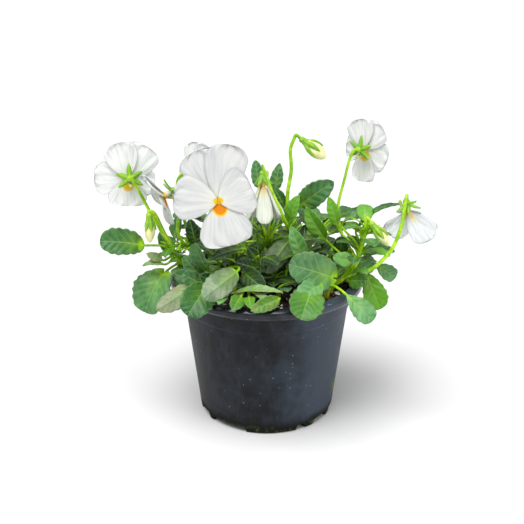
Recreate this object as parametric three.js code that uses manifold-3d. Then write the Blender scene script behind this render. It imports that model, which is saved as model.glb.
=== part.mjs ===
// A potted horned violet: leafy shoots with white, orange-eyed blooms in a black nursery pot.
// Millimetres, +Z up. The origin is the centre of the pot's foot; -Y is the front of the plant.
import * as THREE from 'three';
import { mergeVertices } from 'three/addons/utils/BufferGeometryUtils.js';
import Module from 'manifold-3d';

const wasm = await Module();
wasm.setup();

// ---------------------------------------------------------------- driving dimensions
const POT = {
  height: 78.3,        // foot to the top of the rim
  footRadius: 37.0,    // outer radius where the pot stands
  neckRadius: 46.6,    // outer wall radius just under the rim
  rimRadius: 52.5,     // a 10.5 cm nursery pot
  rimDepth: 5.2,       // height of the rolled rim
  wall: 1.3,
  stepHeight: 62.5,    // the collar where the wall thickens
  stepOut: 0.6,
  bossRadius: 12,      // middle of the floor that stands level with the foot
  footWidth: 4.2,      // the ring that the pot stands on
  floorRise: 3.2,      // underside of the floor between boss and foot
  floorTop: 5.2,
  segments: 30,
};
const FOOT_NOTCHES = [[-35, 34], [30, 8], [53, 18]];   // centre and width in degrees, in each third
const NOTCH_HEIGHT = 3.0;
const NOTCH_OVERCUT = 0.4;      // a notch cuts this far past the foot ring
const DRAIN = { count: 5, radius: 3.6, circle: 22.5 };
const CLEARANCE = 0.3;          // between neighbouring pieces
const SOIL_TOP = 75.2;          // mean height of the soil at the pot's wall
const SOIL_SLACK = 0.4;         // more room at the wall, for the soil's flat facets
const HOLE_SIDES = 6;           // of the hole that a stem stands in
const HOLE_LENGTH = 30;         // of its cutter, from the stem's foot to well above the soil
const GOLDEN = 0.618;           // share of a turn between neighbours round a stem
const STIPULE_STEP = 0.03;      // and of the stem's length between their roots
const STALK_SIDES = 5;
const LEAF_THICKNESS = 0.75;
const PETAL_THICKNESS = 0.7;
const PETIOLE_HALF_WIDTH = 0.65;
const FLAT_LENGTH = 16;         // a shorter blade has no fold along its midrib
const ROOT_SHARE = 0.45;        // roots start this share of the radius off a stem's centre line

// Half-width profiles: t^rise * (1 - t)^fall, scaled to a greatest value of 1.
const OUTLINES = {
  round: { rise: 0.45, fall: 0.42 },
  ovate: { rise: 0.5, fall: 0.62 },
  spoon: { rise: 0.95, fall: 0.45 },
  lance: { rise: 0.75, fall: 0.85 },
  petal: { rise: 0.8, fall: 0.32 },
};

// ---------------------------------------------------------------- vectors and closed meshes
const vec = (xyz) => new THREE.Vector3(...xyz);
const along = (origin, ...terms) => {
  const point = origin.clone();
  for (const [direction, distance] of terms) point.addScaledVector(direction, distance);
  return point;
};
const degrees = (angle) => THREE.MathUtils.degToRad(angle);

/** The part of a direction that is square to an axis, at unit length. */
function squareTo(direction, axis) {
  return direction.clone().addScaledVector(axis, -direction.dot(axis)).normalize();
}

/** A THREE geometry as a manifold solid, its shared corners merged. */
function solidOf(geometry) {
  const bare = new THREE.BufferGeometry();
  bare.setAttribute('position', geometry.getAttribute('position'));
  bare.setIndex(geometry.getIndex());
  const merged = mergeVertices(bare, 1e-4);
  const index = merged.getIndex().array;
  const corners = [];
  for (let i = 0; i < index.length; i += 3) {
    const [a, b, c] = [index[i], index[i + 1], index[i + 2]];
    if (a !== b && b !== c && c !== a) corners.push(a, b, c);
  }
  return new wasm.Manifold(new wasm.Mesh({
    numProp: 3,
    vertProperties: new Float32Array(merged.getAttribute('position').array),
    triVerts: new Uint32Array(corners),
  }));
}

/** Points and corner numbers as a geometry. */
function geometryFrom(points, corners) {
  const geometry = new THREE.BufferGeometry();
  const flat = points.flatMap((p) => [p.x, p.y, p.z]);
  geometry.setAttribute('position', new THREE.Float32BufferAttribute(flat, 3));
  geometry.setIndex(corners);
  return geometry;
}

/** A manifold solid as a THREE geometry with flat faces. */
function geometryOf(solid) {
  const mesh = solid.getMesh();
  const points = [];
  for (let i = 0; i < mesh.numVert; i += 1) {
    points.push(new THREE.Vector3(...mesh.vertProperties.slice(i * 3, i * 3 + 3)));
  }
  return geometryFrom(points, Array.from(mesh.triVerts));
}

/** Everything joined, with any loose scrap dropped. */
function fuse(solids) {
  const pieces = wasm.Manifold.union(solids).decompose();
  return pieces.reduce((largest, piece) => (piece.volume() > largest.volume() ? piece : largest));
}

/**
 * A thin blade: rows of points on its upper face, and for each the offset to its lower face.
 * Both faces are split along the same diagonals, so the blade keeps its thickness where it waves.
 */
function slab(upper, lower) {
  const rows = upper.length;
  const columns = upper[0].length;
  const points = [...upper.flat(), ...lower.flat()];
  const at = (face, i, j) => face * rows * columns + i * columns + j;
  const corners = [];
  for (let i = 0; i + 1 < rows; i += 1) {
    for (let j = 0; j + 1 < columns; j += 1) {
      const [a, b, c, d] = [[i, j], [i + 1, j], [i + 1, j + 1], [i, j + 1]];
      const [a0, b0, c0, d0] = [a, b, c, d].map((p) => at(0, ...p));
      const [a1, b1, c1, d1] = [a, b, c, d].map((p) => at(1, ...p));
      corners.push(a0, b0, c0, a0, c0, d0, a1, c1, b1, a1, d1, c1);
    }
  }
  const border = [];
  for (let i = 0; i + 1 < rows; i += 1) border.push([i, 0]);
  for (let j = 0; j + 1 < columns; j += 1) border.push([rows - 1, j]);
  for (let i = rows - 1; i > 0; i -= 1) border.push([i, columns - 1]);
  for (let j = columns - 1; j > 0; j -= 1) border.push([0, j]);
  border.forEach((p, k) => {
    const q = border[(k + 1) % border.length];
    corners.push(at(0, ...p), at(1, ...p), at(1, ...q), at(0, ...p), at(1, ...q), at(0, ...q));
  });
  return facingOut(geometryFrom(points, corners));
}

/** The solid of a closed geometry, turned inside out where its volume comes out negative. */
function facingOut(geometry) {
  const p = geometry.getAttribute('position');
  const index = Array.from(geometry.getIndex().array);
  const corner = (k) => new THREE.Vector3().fromBufferAttribute(p, index[k]);
  let volume = 0;
  for (let k = 0; k < index.length; k += 3) {
    volume += corner(k).dot(corner(k + 1).cross(corner(k + 2)));
  }
  if (volume < 0) {
    for (let k = 0; k < index.length; k += 3) [index[k], index[k + 1]] = [index[k + 1], index[k]];
    geometry.setIndex(index);
  }
  return solidOf(geometry);
}

/** A round bar through the rings' centres, with a radius for each, closed at both ends. */
function tube(centres, radii, sides) {
  const points = [];
  const corners = [];
  let side = null;
  centres.forEach((centre, i) => {
    const before = centres[Math.max(i - 1, 0)];
    const after = centres[Math.min(i + 1, centres.length - 1)];
    const tangent = after.clone().sub(before).normalize();
    const start = Math.abs(tangent.y) < 0.8 ? vec([0, 1, 0]) : vec([1, 0, 0]);
    side = squareTo(side ?? start, tangent);
    const other = tangent.clone().cross(side);
    for (let k = 0; k < sides; k += 1) {
      const turn = (2 * Math.PI * k) / sides;
      points.push(along(centre, [side, radii[i] * Math.cos(turn)], [other, radii[i] * Math.sin(turn)]));
    }
  });
  for (let i = 0; i + 1 < centres.length; i += 1) {
    for (let k = 0; k < sides; k += 1) {
      const [a, b] = [i * sides + k, i * sides + ((k + 1) % sides)];
      corners.push(a, b, b + sides, a, b + sides, a + sides);
    }
  }
  const last = (centres.length - 1) * sides;
  for (let k = 1; k + 1 < sides; k += 1) corners.push(0, k + 1, k, last, last + k, last + k + 1);
  return facingOut(geometryFrom(points, corners));
}

/** Points at equal parameter steps along a smooth curve through the given places. */
function curveThrough(places, steps) {
  const curve = new THREE.CatmullRomCurve3(places, false, 'catmullrom', 0.5);
  return curve.getPoints(steps);
}

/** A stalk along a list of places, thinning evenly from its foot to its top. */
function stalk(places, footRadius, topRadius) {
  const centres = curveThrough(places, places.length - 1);
  const radii = centres.map((_, i) => footRadius + ((topRadius - footRadius) * i) / (centres.length - 1));
  return tube(centres, radii, STALK_SIDES);
}

// ---------------------------------------------------------------- pot
/** The moulded pot: turned shell with its rolled rim, notched foot and drain holes. */
function makePot() {
  const p = POT;
  const underRim = p.height - p.rimDepth;
  const outer = (z) => p.footRadius + ((p.neckRadius - p.stepOut - p.footRadius) * z) / underRim;
  const floorEdge = p.footRadius - p.footWidth;
  const profile = [
    [0, 0], [p.bossRadius, 0], [p.bossRadius + 0.6, p.floorRise],
    [floorEdge, p.floorRise], [floorEdge + 0.6, 0], [p.footRadius, 0],
    [outer(p.stepHeight), p.stepHeight], [outer(p.stepHeight) + p.stepOut, p.stepHeight + 0.8],
    [p.neckRadius, underRim], [p.rimRadius - 1.0, underRim], [p.rimRadius, underRim + 1.6],
    [p.rimRadius - 0.3, p.height - 0.9], [p.rimRadius - 1.6, p.height],
    [p.neckRadius + 0.8, p.height], [p.neckRadius - p.wall, underRim - 1],
    [outer(p.floorTop) - p.wall, p.floorTop], [0, p.floorTop],
  ].map(([r, z]) => new THREE.Vector2(r, z));
  let pot = facingOut(mergedLathe(profile, p.segments));
  for (const third of [0, 120, 240]) {
    for (const [centre, width] of FOOT_NOTCHES) pot = pot.subtract(footNotch(centre + third, width));
  }
  for (let k = 0; k < DRAIN.count; k += 1) {
    const angle = (2 * Math.PI * (k + 0.5)) / DRAIN.count;
    const hole = new THREE.CylinderGeometry(DRAIN.radius, DRAIN.radius, 2 * p.floorTop, 8);
    hole.rotateX(Math.PI / 2);
    hole.translate(DRAIN.circle * Math.cos(angle), DRAIN.circle * Math.sin(angle), p.floorTop);
    pot = pot.subtract(facingOut(indexed(hole)));
  }
  return pot;
}

function indexed(geometry) {
  const bare = geometry.clone();
  bare.deleteAttribute('normal');
  bare.deleteAttribute('uv');
  return mergeVertices(bare, 1e-4);
}

/** A turned profile about +Z. */
function mergedLathe(profile, segments) {
  const lathe = new THREE.LatheGeometry(profile, segments);
  lathe.rotateX(Math.PI / 2);
  return indexed(lathe);
}

/** A sector of the foot ring, as deep as a drain notch. Angles run from the front (-Y) to the right. */
function footNotch(centre, width) {
  const from = degrees(centre - width / 2 - 90);
  const to = degrees(centre + width / 2 - 90);
  const inner = POT.footRadius - POT.footWidth - NOTCH_OVERCUT;
  const sector = new THREE.Shape();
  sector.absarc(0, 0, POT.footRadius + 3, from, to, false);
  sector.absarc(0, 0, inner, to, from, true);
  sector.closePath();
  const cutter = new THREE.ExtrudeGeometry(sector, {
    depth: NOTCH_HEIGHT + 1, bevelEnabled: false, curveSegments: 3,
  });
  cutter.translate(0, 0, -1);
  return facingOut(indexed(cutter));
}

// ---------------------------------------------------------------- soil
/** Height of the uneven soil at a place. */
function soilHeight(x, y) {
  const crumbs = Math.sin(0.43 * x + 1.1) * Math.cos(0.37 * y - 0.4) + 0.6 * Math.sin(0.9 * x - 0.7 * y);
  const dome = 1 - (x * x + y * y) / (46 * 46);
  return SOIL_TOP + 0.7 * crumbs + 1.6 * dome;
}

/** The potting mix: a plug that fills the pot, with a plain hole for each stem. */
function makeSoil(stemFeet) {
  const sectors = 24;
  const fractions = [0.4, 0.75, 1];
  const gap = CLEARANCE + SOIL_SLACK;
  const bottomRadius = POT.footRadius - POT.wall - gap;
  const topRadius = POT.neckRadius - POT.wall - gap;
  const centre = new THREE.Vector3(0, 0, soilHeight(0, 0));
  const floor = new THREE.Vector3(0, 0, POT.floorTop + CLEARANCE);
  const points = [centre];
  const ring = (radius, height) => {
    for (let k = 0; k < sectors; k += 1) {
      const turn = (2 * Math.PI * k) / sectors;
      const [x, y] = [radius * Math.cos(turn), radius * Math.sin(turn)];
      points.push(new THREE.Vector3(x, y, height(x, y)));
    }
  };
  for (const f of fractions) ring(f * topRadius, soilHeight);
  ring(bottomRadius, () => floor.z);
  points.push(floor);
  const corners = [];
  const at = (r, k) => 1 + r * sectors + (k % sectors);
  for (let k = 0; k < sectors; k += 1) {
    corners.push(0, at(0, k), at(0, k + 1));
    for (let r = 0; r < fractions.length; r += 1) {
      corners.push(at(r, k), at(r + 1, k), at(r + 1, k + 1), at(r, k), at(r + 1, k + 1), at(r, k + 1));
    }
    corners.push(points.length - 1, at(fractions.length, k + 1), at(fractions.length, k));
  }
  let soil = facingOut(geometryFrom(points, corners));
  for (const { foot, radius } of stemFeet) {
    const corner = (radius + CLEARANCE) / Math.cos(Math.PI / HOLE_SIDES);
    const hole = new THREE.CylinderGeometry(corner, corner, HOLE_LENGTH, HOLE_SIDES);
    hole.rotateX(Math.PI / 2);
    hole.translate(foot.x, foot.y, foot.z - CLEARANCE + HOLE_LENGTH / 2);
    soil = soil.subtract(facingOut(indexed(hole)));
  }
  return soil;
}

// ---------------------------------------------------------------- leaves
/** Half width of a blade at t, from its base (0) to its tip (1), as a share of the widest place. */
function outlineShare(kind, t) {
  const { rise, fall } = OUTLINES[kind];
  const peak = rise / (rise + fall);
  return (t ** rise * (1 - t) ** fall) / (peak ** rise * (1 - peak) ** fall);
}

/**
 * A leaf on its petiole, as one blade: the petiole is a cubic Bezier curve from the stem to the
 * blade's base, and the blade an arched, slightly folded outline with blunt teeth.
 */
function leaf(stem, radius, spec) {
  const { kind, base, tip, width, faces, at = 0.96, arch = 0.08, fold = 14, teeth = 0.06 } = spec;
  const [foot, end] = [vec(base), vec(tip)];
  const length = foot.distanceTo(end);
  const flat = length < FLAT_LENGTH || spec.flat;
  const axis = end.clone().sub(foot).normalize();
  const normal = squareTo(vec(faces), axis);
  const side = axis.clone().cross(normal);
  const core = stem.getPoint(at);
  const start = along(core, [foot.clone().sub(core).normalize(), ROOT_SHARE * radius]);
  const reach = start.distanceTo(foot);
  const entry = along(axis, [normal, 4 * arch]).normalize();
  const bezier = new THREE.CubicBezierCurve3(
    start, along(start, [vec([0, 0, 1]), 0.35 * reach]), along(foot, [entry, -0.35 * reach]), foot);
  const upper = [];
  const lower = [];
  const addRow = (centre, tangent, across, half, lift, thickness) => {
    const up = across.clone().cross(tangent).normalize();
    const [reach, rise] = [half * Math.cos(lift), flat ? 0 : half * Math.sin(lift)];
    const edge = (sign) => along(centre, [across, sign * reach], [up, rise]);
    const row = flat ? [edge(-1), edge(1)] : [edge(-1), centre.clone(), edge(1)];
    upper.push(row);
    lower.push(row.map((p) => along(p, [up, -thickness])));
  };
  const petioleRows = [0, 0.5];
  const tangents = petioleRows.map((t) => bezier.getTangent(t));
  const sides = [];
  tangents.reduceRight((last, tangent, k) => { sides[k] = squareTo(last, tangent); return sides[k]; }, side);
  petioleRows.forEach((t, k) => {
    addRow(bezier.getPoint(t), tangents[k], sides[k], PETIOLE_HALF_WIDTH, 0, 1.1);
  });
  const stations = length > 14 ? [0, 0.15, 0.4, 0.65, 0.88, 1] : [0, 0.25, 0.65, 1];
  stations.forEach((t, k) => {
    const tooth = 1 + teeth * (k % 2 ? 1 : -1);
    const half = Math.max(0.5 * width * outlineShare(kind, t) * tooth, k ? 0.5 : PETIOLE_HALF_WIDTH);
    const centre = along(foot, [axis, length * t], [normal, length * arch * 4 * t * (1 - t)]);
    const tangent = along(axis, [normal, arch * 4 * (1 - 2 * t)]).normalize();
    addRow(centre, tangent, side, half, k ? degrees(fold) : 0, k ? LEAF_THICKNESS : 1.0);
  });
  return slab(upper, lower);
}

/** A narrow pointed blade, as a sepal or a stipule is: three rows, no midrib. */
function strap(base, tip, width, faces, arch = 0.1, thickness = 0.6) {
  const axis = tip.clone().sub(base).normalize();
  const length = base.distanceTo(tip);
  const normal = squareTo(faces, axis);
  const side = axis.clone().cross(normal);
  const upper = [];
  const lower = [];
  for (const [t, share] of [[0, 0.45], [0.45, 1], [1, 0.25]]) {
    const centre = along(base, [axis, length * t], [normal, length * arch * 4 * t * (1 - t)]);
    const half = 0.5 * width * share;
    upper.push([along(centre, [side, -half]), along(centre, [side, half])]);
    lower.push(upper.at(-1).map((p) => along(p, [normal, -thickness])));
  }
  return slab(upper, lower);
}

/** Leafy stipules where a petiole leaves the stem: a fan of narrow blades. */
function stipules(stem, radius, spec) {
  const { at, count, length, turn, rise = 0.9, width = 2.2 } = spec;
  const blades = [];
  for (let k = 0; k < count; k += 1) {
    const angle = degrees(turn) + 2 * Math.PI * GOLDEN * k;
    const reach = length * (k % 2 ? 0.72 : 1);
    const out = vec([Math.cos(angle), Math.sin(angle), rise]).normalize();
    const core = stem.getPoint(at - STIPULE_STEP * k);
    const start = along(core, [vec([out.x, out.y, 0]).normalize(), ROOT_SHARE * radius]);
    blades.push(strap(start, along(start, [out, reach]), width, vec([-out.x, -out.y, 1])));
  }
  return blades;
}

// ---------------------------------------------------------------- calyx, blooms and buds
/** The frame of a flower: n is where it faces, u the up direction of its face, r its right. */
function flowerFrame({ seat, faces, up = [0, 0, 1] }) {
  const n = vec(faces).normalize();
  const u = squareTo(vec(up), n);
  return { seat: vec(seat), n, u, r: u.clone().cross(n) };
}

const inFace = (frame, angle) => along(new THREE.Vector3(), [frame.u, Math.cos(degrees(angle))],
  [frame.r, Math.sin(degrees(angle))]);

const SEPAL_ANGLES = [0, 66, 122, 238, 294];

/**
 * A calyx: the receptacle at the end of a flower stalk with five sepals grown out of it, as one mesh.
 * placeAt(angle, step) gives a sepal's centre at step 0, 1 or 2, and the offset to its outer face.
 */
function calyx(frame, widths, placeAt) {
  const points = [along(frame.seat, [frame.n, 0.9]), along(frame.seat, [frame.n, -1.9])];
  const corners = [];
  const sepalCorners = SEPAL_ANGLES.map((angle) => widths.map((width, step) => {
    const { place, outwards } = placeAt(angle, step);
    const side = inFace(frame, angle + 90);
    const edges = [along(place, [side, -width / 2]), along(place, [side, width / 2])];
    points.push(...edges, ...edges.map((p) => p.clone().add(outwards)));
    return points.length - 4;
  }));
  sepalCorners.forEach((rows, k) => {
    for (let i = 0; i + 1 < rows.length; i += 1) {
      const [a, b] = [rows[i], rows[i + 1]];
      for (const [p, q] of [[0, 1], [1, 3], [3, 2], [2, 0]]) {
        corners.push(a + p, a + q, b + q, a + p, b + q, b + p);
      }
    }
    const tip = rows.at(-1);
    corners.push(tip, tip + 1, tip + 3, tip, tip + 3, tip + 2);
    const root = rows[0];
    const next = sepalCorners[(k + 1) % sepalCorners.length][0];
    corners.push(0, root + 1, root, 1, root + 2, root + 3);
    corners.push(0, next, root + 1, 1, root + 3, next + 2);
    corners.push(root + 1, next, next + 2, root + 1, next + 2, root + 3);
  });
  return facingOut(geometryFrom(points, corners));
}

/** The calyx of an open bloom: sepals spread behind the petals, the lower two beside the spur. */
function openCalyx(frame, { sepalLength = 8, sepalLean = 14 }) {
  const [c, s] = [Math.cos(degrees(sepalLean)), Math.sin(degrees(sepalLean))];
  return calyx(frame, [1.5, 2.3, 0.7], (angle, step) => {
    const reach = [0, 0.45, 1][step] * sepalLength;
    const out = inFace(frame, angle);
    const place = along(frame.seat, [frame.n, 0.3 + s * reach], [out, 1.4 + c * reach]);
    return { place, outwards: frame.n.clone().multiplyScalar(-0.9 * c).addScaledVector(out, 0.9 * s) };
  });
}

const PETAL_LAYER = 1.0;   // from one layer of petals to the next
const CLAW_RING = 1.5;     // the claws of a closed bloom stand on a ring this far from its axis
const BLOOM_DEPTH = 4.5;   // from the receptacle to the throat

/** One petal: an obovate blade on a narrow claw, bent back towards its rim. */
function petal(frame, throat, spec) {
  const { angle, length, width, cup = 8, layer = 0, reflex = 0.1 } = spec;
  const out = inFace(frame, angle);
  const [c, s] = [Math.cos(degrees(cup)), Math.sin(degrees(cup))];
  const axis = along(out.clone().multiplyScalar(c), [frame.n, s]);
  const normal = along(frame.n.clone().multiplyScalar(c), [out, -s]);
  const side = axis.clone().cross(normal);
  const start = along(throat, [normal, PETAL_LAYER * layer], [out, CLAW_RING * s]);
  const upper = [];
  const lower = [];
  for (const t of [0.04, 0.3, 0.58, 0.82, 0.96, 1]) {
    const half = Math.max(0.5 * width * outlineShare('petal', t), t < 0.5 ? 0.8 : 0.16 * width);
    const centre = along(start, [axis, t * length], [normal, -reflex * length * t * t]);
    const rim = along(centre, [normal, -0.25 * reflex * half]);
    upper.push([along(rim, [side, -half]), centre, along(rim, [side, half])]);
    lower.push(upper.at(-1).map((p) => along(p, [normal, -PETAL_THICKNESS])));
  }
  return slab(upper, lower);
}

const PETALS = [
  { angle: -24, length: 1.1, width: 0.98, layer: 0 },
  { angle: 22, length: 1.1, width: 0.98, layer: 1 },
  { angle: -96, length: 0.95, width: 0.86, layer: 2 },
  { angle: 96, length: 0.95, width: 0.86, layer: 2 },
  { angle: 180, length: 1, width: 1.12, layer: 1 },
];

/** The white corolla: five petals in their layers round the throat, and the spur behind the lip. */
function corolla(spec) {
  const frame = flowerFrame(spec);
  const throat = along(frame.seat, [frame.n, BLOOM_DEPTH]);
  const { size = 18, cup = 8, reflex = 0.1, petals = PETALS } = spec;
  const parts = petals.map((p) => petal(frame, throat, {
    cup, reflex, ...p, length: p.length * size, width: p.width * size,
  }));
  const boss = [1.9, -(BLOOM_DEPTH - 1.0 - CLEARANCE)].map((d) => along(throat, [frame.n, d]));
  parts.push(tube(boss, [2.4, 1.3], 5));
  const spur = [[-0.4, -1.2], [-3.4, -3.5], [-6.4, -3.8]].map(
    ([d, drop]) => along(throat, [frame.n, d], [frame.u, drop]));
  parts.push(tube(spur, [1.2, 1.1, 0.7], 5));
  return fuse(parts);
}

/** Radius of a furled bud at t from its seat (0) to its tip (1). */
const budRadius = (spec, t) => spec.girth * Math.sin(Math.PI * (0.08 + 0.86 * t)) ** 0.8;

/** The pale petal roll of a closed bud. */
function budPetals(spec) {
  const frame = flowerFrame(spec);
  const steps = [0, 0.2, 0.45, 0.7, 0.9, 1];
  const start = 1.0 + CLEARANCE;
  const centres = steps.map((t) => along(frame.seat, [frame.n, start + t * spec.length]));
  return tube(centres, steps.map((t) => budRadius(spec, t)), 7);
}

/** The calyx of a bud: sepals that clasp the petal roll. */
function budCalyx(frame, spec) {
  return calyx(frame, [1.5, 2.4, 0.7], (angle, step) => {
    const t = [0, 0.32, spec.clasp][step];
    const out = inFace(frame, angle);
    const gap = step ? budRadius(spec, t) + 0.7 : 1.4;
    const place = along(frame.seat, [frame.n, step ? 1.3 + t * spec.length : 0.3], [out, gap]);
    return { place, outwards: out.clone().multiplyScalar(0.8).addScaledVector(frame.n, step ? 0 : -0.8) };
  });
}

// ---------------------------------------------------------------- the plant, shoot by shoot
const FRONT = [0, -0.9, 0.45];     // a blade that turns its upper side to the front
const BACK = [0, 0.9, -0.3];       // one that shows its underside there
const UP = [0, -0.25, 1];

const SHOOTS = [
  {
    name: 'shoot_left',
    stem: [[-40, -8, 63], [-40, -8, 77], [-44.5, -8, 86], [-48, -9, 92], [-50, -10, 97]],
    radius: 1.7,
    stalks: [
      {
        flower: 'bloom_left',
        path: [[-49, -10, 95], [-55, -9, 105], [-59, -7, 112], [-62, -6, 117], [-65, -5, 123]],
      },
      {
        flower: 'bud_left', radius: 1.2,
        path: [[-47, -9, 90], [-50, -12, 98], [-54, -14, 108], [-57.5, -16, 117.5]],
      },
    ],
    stipules: [
      { at: 0.78, count: 2, length: 9, turn: 150 },
      { at: 1, count: 3, length: 8, turn: 120 },
    ],
    leaves: [
      {
        kind: 'round', base: [-67, -14, 100], tip: [-86, -20, 104], width: 15,
        faces: [0, -0.8, 0.6], at: 0.8,
      },
      {
        kind: 'round', base: [-55, -14, 83], tip: [-64, -22, 65], width: 22,
        faces: [-0.4, -0.8, 0.5], at: 0.5, arch: 0.1,
      },
      { kind: 'ovate', base: [-53, -5, 93], tip: [-57, -2, 103], width: 6, faces: FRONT, at: 0.9 },
      { kind: 'lance', base: [-55, -13, 91], tip: [-63, -16, 96], width: 5, faces: FRONT, at: 0.75 },
      { kind: 'lance', base: [-54, -14, 89], tip: [-65, -18, 90], width: 5.5, faces: UP, at: 0.7 },
    ],
  },
  {
    name: 'shoot_left_back',
    stem: [[-36, 6, 63], [-36, 6, 77], [-39, 4, 86], [-43, 1, 94]],
    radius: 1.4,
    stalks: [
      { path: [[-42, 1, 92], [-47, -2, 101], [-46.5, -2, 112], [-42.5, -1.5, 123]], flower: 'bloom_side' },
      { path: [[-40, 4, 88], [-44, 6, 105], [-47, 2, 120], [-47, 1, 130]], flower: 'bloom_behind' },
    ],
    stipules: [{ at: 0.95, count: 3, length: 8, turn: 40 }],
    leaves: [
      {
        kind: 'lance', base: [-50, 4, 97], tip: [-46, 6, 110], width: 8,
        faces: [-0.5, -0.8, 0.3], at: 0.9,
      },
      { kind: 'spoon', base: [-44, 8, 96], tip: [-49, 7, 95], width: 4, faces: UP, at: 0.8 },
      { kind: 'ovate', base: [-38, 0, 95], tip: [-41, -1, 110], width: 8, faces: FRONT, at: 0.7 },
    ],
  },
  {
    name: 'shoot_left_front',
    stem: [[-27, -22, 63], [-27, -22, 77], [-28, -24, 81], [-30, -26, 84]],
    radius: 1.4,
    stipules: [{ at: 0.95, count: 1, length: 6, turn: 150 }],
    leaves: [
      {
        kind: 'ovate', base: [-39, -33, 84], tip: [-56, -39, 74], width: 12,
        faces: [0.2, 0.8, -0.5], at: 0.8,
      },
      { kind: 'round', base: [-31, -36, 84.8], tip: [-39.3, -50, 75.5], width: 17, faces: FRONT, at: 0.7 },
      { kind: 'ovate', base: [-15, -39, 95], tip: [-31, -54, 87], width: 14, faces: BACK, at: 0.9 },
      {
        kind: 'spoon', base: [-28, -29, 90], tip: [-36, -34, 108], width: 10,
        faces: [-0.5, -0.8, 0.1], fold: 25,
      },
      { kind: 'ovate', base: [-25, -33, 86], tip: [-34, -37, 92], width: 7.5, faces: FRONT },
      { kind: 'ovate', base: [-34, -22, 85], tip: [-43, -23, 97], width: 9, faces: FRONT },
      { kind: 'ovate', base: [-32, -28, 83], tip: [-43, -30, 86], width: 6, faces: FRONT },
    ],
  },
  {
    name: 'shoot_front',
    stem: [[-9, -24, 63], [-9, -24, 77], [-10, -22, 83], [-12, -20, 90]],
    radius: 1.5,
    stalks: [
      {
        flower: 'bloom_front', radius: 1.3,
        path: [[-12, -20, 89], [-16, -17, 102], [-20, -17, 115], [-22.5, -21, 126]],
      },
    ],
    stipules: [{ at: 0.9, count: 3, length: 8, turn: 10 }],
    leaves: [
      { kind: 'ovate', base: [-12, -23, 101], tip: [-29, -26, 96], width: 8, faces: UP },
      { kind: 'ovate', base: [-6, -22, 96], tip: [-10, -26, 103], width: 6, faces: FRONT, at: 0.95 },
      { kind: 'ovate', base: [-4, -24, 90], tip: [-16, -29, 96], width: 7.5, faces: FRONT, at: 0.7 },
      { kind: 'ovate', base: [-12, -28, 90], tip: [-1, -37, 84], width: 10.5, faces: FRONT, at: 0.6 },
      { kind: 'lance', base: [-17, -38, 83], tip: [8, -45, 86], width: 6, faces: UP, at: 0.45 },
      { kind: 'ovate', base: [-13, -43, 83], tip: [-17, -53, 80], width: 8, faces: FRONT, at: 0.45 },
    ],
  },
  {
    name: 'shoot_front_low',
    stem: [[0, -37, 64], [0, -37, 77], [1, -39, 79.5]],
    radius: 0.9,
    leaves: [
      { kind: 'ovate', base: [6, -45.5, 82.6], tip: [-8, -54.5, 80.3], width: 7.5, faces: FRONT },
    ],
  },
  {
    name: 'shoot_centre',
    stem: [[2, -8, 63], [2, -8, 77], [1, -7, 88], [0, -8, 97]],
    radius: 1.6,
    stipules: [
      { at: 0.82, count: 4, length: 13, turn: 12, rise: 1.1, width: 2.6 },
      { at: 0.97, count: 4, length: 14, turn: 40, rise: 1.6, width: 2.6 },
    ],
    leaves: [
      { kind: 'ovate', base: [12, -17, 104], tip: [-1, -26, 89], width: 12, faces: BACK, at: 0.8 },
      { kind: 'ovate', base: [-1, -14, 98], tip: [2, -19, 92], width: 6, faces: FRONT, at: 0.75 },
    ],
    fan: { count: 4, outward: -100, spread: 90, seed: 0.1, reach: 5, size: 11 },
  },
  {
    name: 'shoot_centre_back',
    stem: [[14, 2, 63], [14, 2, 77], [13, 0, 92], [12, -1, 106]],
    radius: 1.7,
    stalks: [
      {
        flower: 'bloom_centre', radius: 0.9,
        path: [[12, -1, 103], [10, -15, 112], [7, -20.5, 121], [3, -20, 130], [0, -15.5, 137]],
      },
      {
        flower: 'bud_top', radius: 1.2,
        path: [[12, 0, 100], [11, 2, 121], [13, 6, 135], [12.5, 9, 145], [14.5, 10, 151]],
      },
    ],
    stipules: [{ at: 0.97, count: 2, length: 10, turn: 170, rise: 1.5 }],
    leaves: [
      {
        kind: 'lance', base: [19, -21, 93], tip: [12, -21, 113], width: 9,
        faces: FRONT, at: 0.55, fold: 22,
      },
      {
        kind: 'lance', base: [12, -6, 109], tip: [17, -7, 125], width: 9,
        faces: [-0.5, -0.8, 0.2], fold: 28,
      },
      { kind: 'ovate', base: [18, 4, 116], tip: [35, -3, 131], width: 13, faces: FRONT, at: 0.95 },
      { kind: 'ovate', base: [-4, 6, 125], tip: [-6, 7, 140], width: 7, faces: FRONT, at: 0.85 },
      { kind: 'lance', base: [4, 8, 122], tip: [7, 9, 138], width: 7, faces: FRONT, at: 0.9 },
      { kind: 'lance', base: [10, 4, 115], tip: [3, 3, 127], width: 6, faces: FRONT, at: 0.95 },
    ],
  },
  {
    name: 'shoot_right',
    stem: [[34, -18, 63], [34, -18, 77], [40, -18, 83], [47, -16, 91], [50, -13, 101], [52, -10, 109]],
    radius: 1.7,
    stalks: [
      {
        flower: 'bloom_right', radius: 1.3,
        path: [[40, -18, 83], [47, -22, 87], [55, -24, 91], [64, -22, 100], [69, -18, 111], [71, -13, 119]],
      },
      { path: [[51, -11, 106], [51.5, -10.8, 110]], flower: 'bud_right', radius: 1.2 },
      {
        flower: 'bloom_high', radius: 1.0,
        path: [[46, -16, 90], [42, -9, 97], [39, -3, 106], [38, 2, 116], [41.5, 7, 130], [44, 9, 140]],
      },
    ],
    stipules: [
      { at: 0.62, count: 2, length: 12, turn: 20, rise: 1.4 },
      { at: 0.75, count: 2, length: 12, turn: 60, rise: 2.2 },
    ],
    leaves: [
      { kind: 'ovate', base: [51, -9, 93], tip: [68, -8, 94], width: 13, faces: UP, at: 0.6 },
      {
        kind: 'lance', base: [48, -3, 105], tip: [71, -3, 119], width: 6,
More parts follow.
